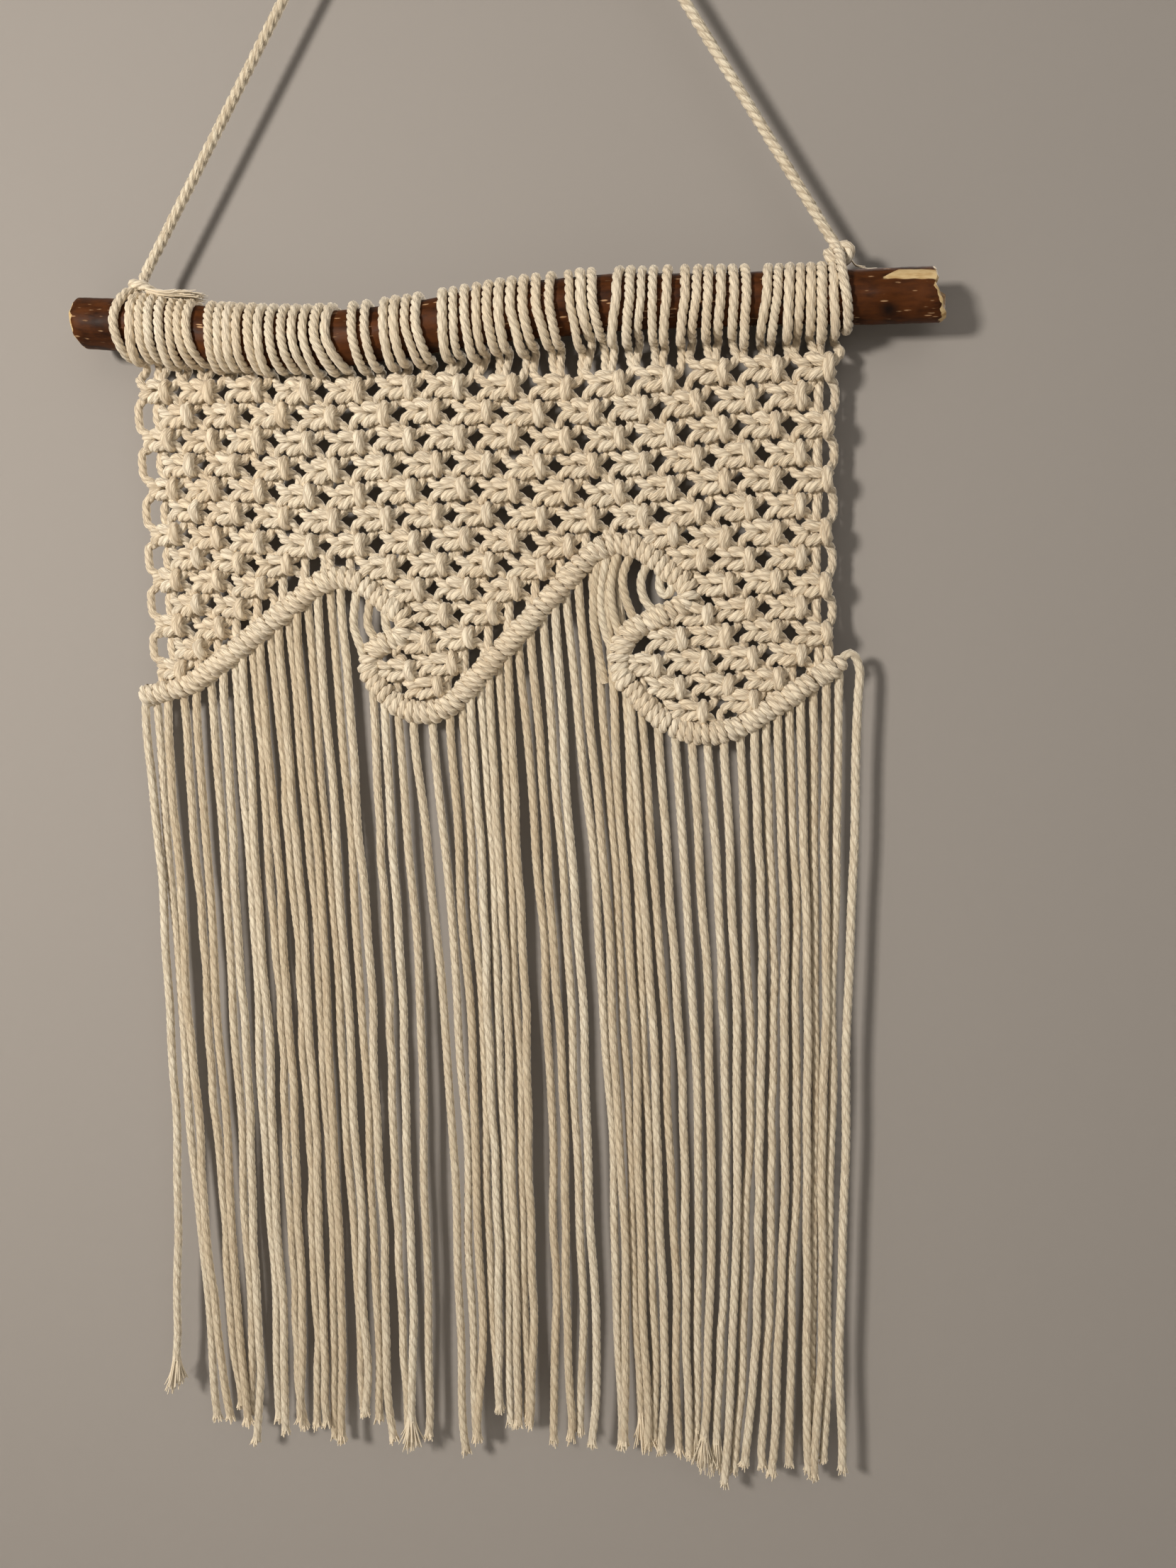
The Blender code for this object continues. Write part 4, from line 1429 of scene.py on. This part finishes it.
@dataclass
class Fringe:
    """The long cords below the bar, and the short ones inside each curl."""

    line: BarLine
    hanks: tuple[Hank, ...] = (
        Hank(1, -119.5, -119.5, -115.0, -115.0, -118.5, -118.5, -567.0),
        Hank(2, -115.5, -111.0, -111.5, -107.5, -105.0, -101.5, -580.0),
        Hank(4, -105.5, -90.5, -101.5, -87.5, -97.0, -87.0, -578.0),
        Hank(4, -86.5, -77.0, -83.0, -71.0, -81.0, -71.0, -581.0),
        Hank(4, -73.5, -63.5, -67.0, -56.5, -66.5, -56.5, -582.0),
        Hank(3, -60.0, -52.0, -53.0, -45.0, -49.5, -43.0, -574.0),
        Hank(1, -48.0, -48.0, -40.5, -40.5, -39.5, -39.5, -580.0),
        Hank(3, -38.2, -29.5, -35.5, -24.5, -34.0, -26.0, -583.0),
        Hank(3, -24.0, -11.5, -14.5, -6.0, -13.0, -5.0, -582.0),
        Hank(6, -7.5, 8.5, -2.5, 13.0, -1.5, 13.5, -572.0),
        Hank(4, 12.0, 24.5, 20.5, 33.0, 20.5, 36.5, -577.0),
        Hank(6, 28.0, 49.0, 40.5, 56.5, 43.5, 60.0, -578.0),
        Hank(4, 52.5, 69.0, 60.5, 75.0, 64.0, 73.5, -580.0),
        Hank(3, 74.0, 84.5, 80.0, 88.0, 77.0, 83.5, -585.0),
        Hank(4, 89.0, 100.0, 92.0, 103.5, 88.0, 101.0, -582.0),
        Hank(4, 103.5, 115.5, 107.0, 115.0, 107.0, 114.5, -581.0),
        Hank(1, 121.6, 121.6, 119.5, 119.5, 118.8, 118.8, -579.0),
    )
    middle_z: float = -441.0
    layer_y: float = 1.15
    sway: float = 0.36
    tassels: tuple[int, ...] = (0, 20, 37, 43, 44, 45)
    rope: Rope = Rope(radius=1.42, lay=13.0, crown=1.03, groove=0.86)
    cut_short: float = 3.5
    fray_up: float = 7.0
    end_drift: float = 1.3
    left_half: int = 29
    seed: int = 23
    fray_seed: int = 41

    @property
    def long_cords(self) -> int:
        """How many long cords there are."""
        return sum(hank.cords for hank in self.hanks)

    def cords(self) -> list[Run]:
        """Lead every hanging cord.

        Returns:
            The long cords from left to right, and then the curls' short ones.
        """
        draw = np.random.default_rng(self.seed)
        runs: list[Run] = []
        for hank in self.hanks:
            spans = (hank.top_0, hank.top_1), (hank.middle_0, hank.middle_1), (hank.end_0, hank.end_1)
            for share in np.linspace(0, 1, hank.cords):
                top, middle, end = (a + share * (b - a) for a, b in spans)
                runs.append(self.hanging(draw, len(runs), top, middle, end, hank.end_z + draw.normal(0, 1.6)))
        for points in CURL_CORDS:
            run = Run([], [(0, "curl_cords")], float(draw.random()), float(draw.random() * TURN))
            for k, (x, z) in enumerate(points):
                run.add(x, NET_Y - (1.6 if 0 < k < len(points) - 1 else 0.2), z, 1.04, 1.6)
            runs.append(run)
        return runs

    def hanging(
        self, draw: np.random.Generator, number: int, top: float, middle: float, end: float, end_z: float
    ) -> Run:
        """Lay one long cord.

        Args:
            draw: Where its unevenness comes from.
            number: Its place from the left.
            top: Its x at the bar.
            middle: Its x half-way down.
            end: Its x at the end.
            end_z: How low it ends.

        Returns:
            The cord.
        """
        y = NET_Y + (self.layer_y if number % 2 else -self.layer_y) + draw.normal(0, 0.15)
        bar_x = min(max(top, self.line.start[0] + 1.7), self.line.end[0] - 0.3)
        bar_z = self.line.heights(bar_x)[-1]
        name = "fringe_left" if number < self.left_half else "fringe_right"
        run = Run([], [(0, name)], float(draw.random()), float(draw.random() * TURN))
        if top > self.line.end[0] - 2:
            run.add(bar_x - 7.0, NET_Y - 0.8, bar_z - 3.4, 0.95)
            run.add(bar_x - 2.5, NET_Y - 1.2, bar_z - 0.8, 0.95)
        else:
            run.add(bar_x, NET_Y, bar_z, 0.95)
        run.add(bar_x, (NET_Y + y) / 2, bar_z - 5.0, 1.0)
        end_z += self.cut_short + (self.fray_up if number in self.tassels else 0) + draw.normal(0, 1.2)
        curve = np.array([(bar_z - 8, bar_x), (self.middle_z, middle), (end_z, end)])
        bend = np.polyfit(curve[:, 0], curve[:, 1], 2)
        phase, swing = draw.random(2) * TURN, self.sway * (0.6 + 0.8 * draw.random(2))
        waves = 60 + 90 * draw.random(2)
        lean = draw.normal(0, self.end_drift)
        for z in np.arange(bar_z - 15, end_z + 4, -12.0):
            fade = min(1, (bar_z - z) / 60)
            slow = swing[0] * math.sin(z / waves[0] * TURN + phase[0])
            quick = swing[1] * math.sin(z / waves[1] * 2.3 * TURN + phase[1])
            drift = fade * (slow + 0.5 * quick)
            low = max(0.0, 1 - (z - end_z) / 45) ** 2
            run.add(float(np.polyval(bend, z)) + drift + lean * low, y + 0.3 * drift, z, 1.0)
        run.add(end + lean, y, end_z, 1.0)
        return run

    def fray(self, cotton: Cotton, run: Run, kind: End, draw: np.random.Generator) -> None:
        """Open the end of one cord into loose fibres.

        Args:
            cotton: The piece in the making that the fibres go into.
            run: The cord.
            kind: A short brush, or a long loose tassel.
            draw: Where the unevenness comes from.
        """
        tip, before = np.array(run.points[-1][:3]), np.array(run.points[-2][:3])
        down = (tip - before) / np.linalg.norm(tip - before)
        fray = FRAYS[kind]
        for _ in range(fray.fibres):
            angle, out = draw.random() * TURN, math.sqrt(draw.random())
            side = np.array([math.cos(angle), math.sin(angle), 0.0])
            long = fray.length * (0.7 + 0.4 * draw.random())
            start = tip - down * 2.0 + side * out * 1.15
            open_way = side * out * fray.spread + draw.normal(0, 0.05, 3)
            curl = draw.normal(0, 0.06, 3)
            share = np.linspace(0, 1, 5)[:, None]
            line = start + down * (share * long) + open_way * (share**1.5 * long) + curl * (share**2 * long)
            cotton.add_fibre(line, 0.36 - 0.12 * share, np.linspace(0, long, 5), run.tint * 0.7)


# ---- The hanger ------------------------------------------------------------------------------
# The cord's knotted ends, each from the straight cord down: x, y towards the back, z and the share of the
# full thickness.
TIES = {
    "left": (
        (-109.6, 0.0, -172.3, 1.0), (-110.8, -0.6, -175.2, 1.0), (-111.6, -1.6, -177.8, 0.98),
        (-113.2, -3.8, -180.0, 0.94), (-115.3, -7.0, -182.9, 0.92), (-116.8, -9.4, -187.4, 0.92),
        (-117.5, -9.9, -191.6, 0.92), (-117.4, -8.0, -196.8, 0.92), (-117.1, -3.8, -200.2, 0.92),
        (-117.2, 0.6, -200.8, 0.92), (-117.1, 6.2, -198.2, 0.92), (-116.6, 9.7, -191.0, 0.92),
        (-115.6, 8.2, -184.8, 0.92), (-114.4, 4.6, -181.2, 0.92), (-114.2, 1.6, -179.6, 0.94),
        (-114.4, -1.2, -178.4, 0.96), (-113.4, -3.4, -178.2, 0.98), (-111.8, -4.4, -178.8, 1.0),
        (-110.2, -4.2, -178.8, 1.0), (-108.6, -3.4, -179.6, 0.96), (-107.4, -2.6, -180.4, 0.88),
        (-105.6, -2.4, -181.0, 0.75), (-103.2, -2.4, -181.2, 0.55), (-100.0, -2.4, -181.2, 0.3),
    ),
    "right": (
        (111.2, 0.0, -175.3, 1.0), (112.2, -0.8, -177.4, 1.0), (113.2, -2.8, -179.8, 1.0),
        (113.5, -5.2, -182.4, 0.96), (113.8, -8.2, -186.2, 0.92), (114.4, -9.6, -190.4, 0.92),
        (115.3, -9.3, -194.6, 0.92), (116.0, -7.0, -199.0, 0.92), (116.3, -3.4, -201.8, 0.92),
        (116.2, 1.0, -202.2, 0.92), (115.8, 6.6, -199.6, 0.92), (115.2, 9.4, -192.6, 0.92),
        (114.2, 7.6, -186.2, 0.92), (112.4, 4.2, -182.4, 0.92), (110.9, 1.6, -180.4, 0.94),
        (110.2, -0.6, -179.6, 0.95), (110.3, -2.4, -180.8, 0.95), (111.4, -2.9, -182.6, 0.93),
        (113.2, -2.2, -183.2, 0.9), (115.0, -2.0, -182.9, 0.92), (116.4, -2.4, -181.4, 0.96),
        (116.5, -2.6, -179.5, 0.98), (115.2, -2.2, -178.2, 0.96), (113.6, -0.2, -178.3, 0.92),
        (112.4, 1.6, -179.4, 0.88),
    ),
}  # fmt: skip


class Tuft(NamedTuple):
    """A combed-out cord end.

    It has a middle line and a number of fibres. They reach at least a share of the way along it, fewer of
    them further where the curve is above 1, and lie about this far off it at its root and at its tip.
    """

    middle: tuple[tuple[float, float, float], ...]
    fibres: int
    least: float
    curve: float
    root: float
    tip: float


@dataclass
class Hanger:
    """The cord that the rod hangs by, looped and knotted round it near each end."""

    nail_radius: float = 3.0
    feet: tuple[tuple[float, float], ...] = ((-110.6, -173.9), (112.0, -176.6))
    points: int = 25
    over_nail: int = 7
    seed: int = 5
    tufts: tuple[Tuft, ...] = (
        Tuft(
            (
                (-108.6, -2.8, -180.4),
                (-104.0, -3.6, -182.0),
                (-99.2, -3.8, -182.6),
                (-94.6, -3.2, -182.8),
                (-89.8, -2.2, -183.1),
            ),
            fibres=420,
            least=0.55,
            curve=1.5,
            root=0.75,
            tip=1.7,
        ),
        Tuft(
            ((116.6, 0.0, -181.0), (118.4, -0.6, -183.6), (121.5, -0.6, -184.6), (126.5, -0.4, -184.7)),
            fibres=9,
            least=0.6,
            curve=1.0,
            root=0.2,
            tip=0.3,
        ),
    )

    def side(self, side: int) -> tuple[np.ndarray, float]:
        """Find one side of the cord.

        Args:
            side: -1 for the left side, 1 for the right one.

        Returns:
            Its points, from its knot to the nail, and the angle where it leaves the nail.
        """
        over = self.nail_radius + ROPE.radius
        foot_x, foot_z = self.feet[0 if side < 0 else 1]
        run, rise = abs(foot_x), -over - foot_z
        leave = math.pi / 2 - math.atan2(rise, run) - math.asin(over / math.hypot(run, rise))
        start = np.array([foot_x, 0, foot_z])
        top = np.array([side * over * math.sin(leave), 0, over * math.cos(leave) - over])
        return np.array([start + s * (top - start) for s in np.linspace(0, 1, self.points)]), leave

    def route(self) -> np.ndarray:
        """Find the cord's line.

        Returns:
            Its points, from the right knot over the nail to the left one.
        """
        over = self.nail_radius + ROPE.radius
        right, leave_right = self.side(1)
        left, leave_left = self.side(-1)
        turns = np.linspace(leave_right, -leave_left, self.over_nail)[1:-1]
        arc = [np.array([over * math.sin(a), 0, over * math.cos(a) - over]) for a in turns]
        return np.vstack([right, arc, left[::-1]])

    def build_cord(self, finish: bpy.types.Material) -> bpy.types.Object:
        """Args:
            finish: What it is finished in.

        Returns:
            The piece.
        """
        route = self.route()
        cottons: dict[str, Cotton] = {}
        length = Run([(*p, 1.0, 1.0) for p in route], [(0, "hanger_rope")], 0.35, 0.4).lay_into(cottons)
        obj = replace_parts(cottons["hanger_rope"].make(finish), "hanger_cord")
        return obj

    def knots(self, cottons: dict[str, Cotton]) -> None:
        """Lay each end: a turn round the rod, a knot on top of it and its short end.

        Args:
            cottons: The pieces in the making, by name.
        """
        for side, points in TIES.items():
            name = f"hanger_tie_{side}"
            run = Run([], [(0, name)], 0.35, 0.9)
            for x, y, z, share in points:
                run.add(x, y, z, share, 1.1)
            run.lay_into(cottons)

    def tail(self, cotton: Cotton) -> None:
        """Comb the left tail out over the tops of the first turns, and the right one behind the rod.

        Args:
            cotton: The piece in the making that the fibres go into.
        """
        draw = np.random.default_rng(self.seed)
        for tuft in self.tufts:
            for _ in range(tuft.fibres):
                self.wisp(cotton, draw, tuft)

    @staticmethod
    def wisp(cotton: Cotton, draw: np.random.Generator, tuft: Tuft) -> None:
        """Lay one loose fibre.

        Args:
            cotton: The piece in the making that it goes into.
            draw: Where its unevenness comes from.
            tuft: The tuft that it belongs to.
        """
        reach = tuft.least + (1 - tuft.least) * draw.random() ** tuft.curve
        share = np.linspace(0, 1, 8)
        steps = np.linspace(0, 1, len(tuft.middle))
        line = np.stack([np.interp(share * reach, steps, values) for values in zip(*tuft.middle)], 1)
        y, z = draw.normal(0, 1, 2)
        flare = share**2 * draw.normal(0, 0.35)
        off = tuft.root + (tuft.tip - tuft.root) * share**1.6
        line[:, 1] += y * off
        line[:, 2] += z * off * 0.4 + np.maximum(flare, -0.2)
        cotton.add_fibre(line, 0.21 - 0.09 * share[:, None], share * 18, 0.25 + 0.3 * draw.random())


# ---- Stage -----------------------------------------------------------------------------------
class Lamp(NamedTuple):
    """A soft square lamp in metres: its place, the height that it faces, its side and its light."""

    name: str
    place: tuple[float, float, float]
    aim_z: float
    size: float
    watts: float
    colour: Colour
    bounces: int = 12


@dataclass(frozen=True)
class Studio:
    """Camera, pale floor, pale wall and soft light."""

    camera_mm: tuple[float, float, float] = (88.5, -380.0, -302.0)
    yaw: float = 8.0
    pitch: float = 6.0
    roll: float = 0.5
    focal_share: float = 1662.0 / 2212.0
    sensor: float = 36.0
    wall_y: float = 13.0
    floor_z: float = -720.0
    wall_colour: Colour = (0.318, 0.296, 0.278)
    floor_colour: Colour = (0.62, 0.60, 0.57)
    air_colour: Colour = (1.0, 0.94, 0.84)
    air: float = 0.21
    air_seen: float = 0.1
    lamps: tuple[Lamp, ...] = (
        Lamp("key", (-0.42, -0.74, -0.12), -0.31, 0.13, 6.8, (1.0, 0.93, 0.84)),
        Lamp("fill", (0.5, -1.2, 0.3), -0.35, 1.2, 3.0, (1.0, 0.95, 0.90)),
        Lamp("back", (0.5, 1.2, 0.5), -0.35, 1.0, 20, (1.0, 0.96, 0.9), bounces=0),
    )

    def camera(self) -> None:
        """Set the camera at the viewing angle, close in front."""
        yaw, pitch, roll = (math.radians(a) for a in (self.yaw, self.pitch, self.roll))
        level = math.cos(pitch)
        forward = Vector((-math.sin(yaw) * level, math.cos(yaw) * level, -math.sin(pitch)))
        across = Vector((math.cos(yaw), math.sin(yaw), 0))
        upward = across.cross(forward)
        right = math.cos(roll) * across - math.sin(roll) * upward
        up = math.sin(roll) * across + math.cos(roll) * upward
        turn = Matrix((right, up, -forward)).transposed().to_4x4()
        data = bpy.data.cameras.new("camera")
        data.lens = self.sensor * self.focal_share
        data.sensor_width = self.sensor
        data.clip_start = 0.01
        obj = bpy.data.objects.new("camera", data)
        obj.matrix_world = Matrix.Translation(Vector(self.camera_mm) * MM) @ turn
        bpy.context.collection.objects.link(obj)
        bpy.context.scene.camera = obj

    @staticmethod
    def plain(name: str, colour: Colour, corners: tuple[tuple[float, float, float], ...]) -> bpy.types.Object:
        """Add a flat, matt surface for the stage.

        Args:
            name: What it is called.
            colour: Its colour.
            corners: Its four corners.

        Returns:
            The surface.
        """
        mesh = bpy.data.meshes.new(name)
        mesh.from_pydata([tuple(c * MM for c in p) for p in corners], [], [(0, 1, 2, 3)])
        made, _, shader = new_material(name)
        shader.inputs["Base Color"].default_value = (*colour, 1)
        shader.inputs["Roughness"].default_value = 0.9
        mesh.materials.append(made)
        obj = bpy.data.objects.new(name, mesh)
        bpy.context.collection.objects.link(obj)
        return obj

    @staticmethod
    def open_back(material: bpy.types.Material) -> None:
        """Let the wall be seen from the front alone, and let light through to the back of the cords.

        Args:
            material: The wall's.
        """
        tree = material.node_tree
        clear, mix = tree.nodes.new("ShaderNodeBsdfTransparent"), tree.nodes.new("ShaderNodeMixShader")
        face, path = tree.nodes.new("ShaderNodeNewGeometry"), tree.nodes.new("ShaderNodeLightPath")
        away = math_node(tree, "MAXIMUM", face.outputs["Backfacing"], path.outputs["Is Shadow Ray"])
        tree.links.new(away, mix.inputs[0])
        tree.links.new(tree.nodes["Principled BSDF"].outputs[0], mix.inputs[1])
        tree.links.new(clear.outputs[0], mix.inputs[2])
        tree.links.new(mix.outputs[0], tree.nodes["Material Output"].inputs["Surface"])

    @staticmethod
    def light(lamp: Lamp) -> None:
        """Add one lamp.

        Args:
            lamp: The lamp.
        """
        data = bpy.data.lights.new(lamp.name, "AREA")
        data.size = lamp.size
        data.energy = lamp.watts
        data.color = lamp.colour
        data.cycles.max_bounces = lamp.bounces
        obj = bpy.data.objects.new(lamp.name, data)
        obj.location = lamp.place
        obj.rotation_mode = "QUATERNION"
        aim = Vector((0, 0, lamp.aim_z)) - Vector(lamp.place)
        obj.rotation_quaternion = aim.to_track_quat("-Z", "Y")
        bpy.context.collection.objects.link(obj)

    def build(self) -> None:
        """Set the floor, the wall, the lamps and the soft light all round, with plain tones."""
        bpy.context.scene.view_settings.view_transform = "Standard"
        f, w = self.floor_z, self.wall_y
        floor_corners = ((-3000, -3000, f), (3000, -3000, f), (3000, 3000, f), (-3000, 3000, f))
        self.plain("floor", self.floor_colour, floor_corners)
        wall_corners = ((-900, w, f), (900, w, f), (900, w, 500), (-900, w, 500))
        wall = self.plain("wall", self.wall_colour, wall_corners)
        self.open_back(wall.data.materials[0])
        for lamp in self.lamps:
            self.light(lamp)
        world = bpy.data.worlds.new("soft light")
        world.use_nodes = True
        tree = world.node_tree
        background = tree.nodes["Background"]
        seen = tree.nodes.new("ShaderNodeLightPath").outputs["Is Camera Ray"]
        strength = math_node(tree, "MULTIPLY_ADD", seen, self.air_seen, self.air)
        tree.links.new(strength, background.inputs["Strength"])
        background.inputs["Color"].default_value = (*self.air_colour, 1)
        bpy.context.scene.world = world


# ---- Build -----------------------------------------------------------------------------------
# The plain solids of the frame that each dressed piece stands for.
REPLACED = {
    "larks_heads_left": tuple(f"mounting_wraps_{k}" for k in range(1, 5)),
    "larks_heads_right": tuple(f"mounting_wraps_{k}" for k in range(5, 10)),
    "net_left": ("knotted_panel",),
    "hitched_bar": ("hitched_bar_fringe",),
    "hanger_tie_left": ("hanger_knot_left",),
    "hanger_tie_right": ("hanger_knot_right",),
    "hanger_tail_fibres": ("hanger_tail",),
}


def main() -> None:
    """Build every piece of the hanging in its finish, and set the stage."""
    logging.basicConfig(level=logging.INFO, format="%(message)s")
    studio = Studio()
    studio.camera()
    relief = cord_relief_group()
    knotted = CottonFinish("cotton cord in knots").material(relief)
    hanging = CottonFinish(
        "hanging cotton cord",
        light=(0.95, 0.88, 0.72),
        warm=(0.74, 0.63, 0.46),
        groove_shade=0.45,
        fibre_shade=0.45,
        tint_share=0.8,
    ).material(relief)
    wrapped = CottonFinish("cotton cord round the rod", groove_shade=0.32, fibre_shade=0.35).material(relief)
    loose = CottonFinish(
        "loose cotton fibres", light=(0.77, 0.69, 0.55), groove_shade=0.0, fibre_shade=0.0, depth=0.0
    ).material(relief)

    branch = Branch()
    hanger = Hanger()
    hanger.build_cord(hanging)
    rod = branch.build(BarkFinish().material(), CutWoodFinish().material())
    log.info("%s: %d faces", rod.name, len(rod.data.polygons))

    cottons: dict[str, Cotton] = {}
    bar = BarLine()
    net = Net(bar)
    heads = LarksHeads(branch)
    legs = heads.legs()
    heads.drop(legs, net)
    used = sum(run.lay_into(cottons) for run in net.cords(legs))
    used += HitchedBar(bar).lay_into(cottons)
    fringe = Fringe(bar)
    hanging_cords = fringe.cords()
    used += sum(run.lay_into(cottons, fringe.rope) for run in hanging_cords)
    log.info("cord used: %.1f m", used * MM)
    hanger.knots(cottons)
    draw = np.random.default_rng(fringe.fray_seed)
    ends = cottons["frayed_ends"] = Cotton("frayed_ends")
    for number, run in enumerate(hanging_cords[: fringe.long_cords]):
        fringe.fray(ends, run, End.TASSEL if number in fringe.tassels else End.BRUSH, draw)
    tail = cottons["hanger_tail_fibres"] = Cotton("hanger_tail_fibres")
    hanger.tail(tail)

    finishes = {"larks": wrapped, "fringe": hanging, "curl": hanging, "frayed": loose, "hanger_tail": loose}
    for name, cotton in cottons.items():
        finish = next((made for start, made in finishes.items() if name.startswith(start)), knotted)
        piece = cotton.make(finish)
        if name in REPLACED:
            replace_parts(piece, *REPLACED[name])
        log.info("%s: %d faces", name, len(piece.data.polygons))
    studio.build()


if __name__ == "__main__":
    main()
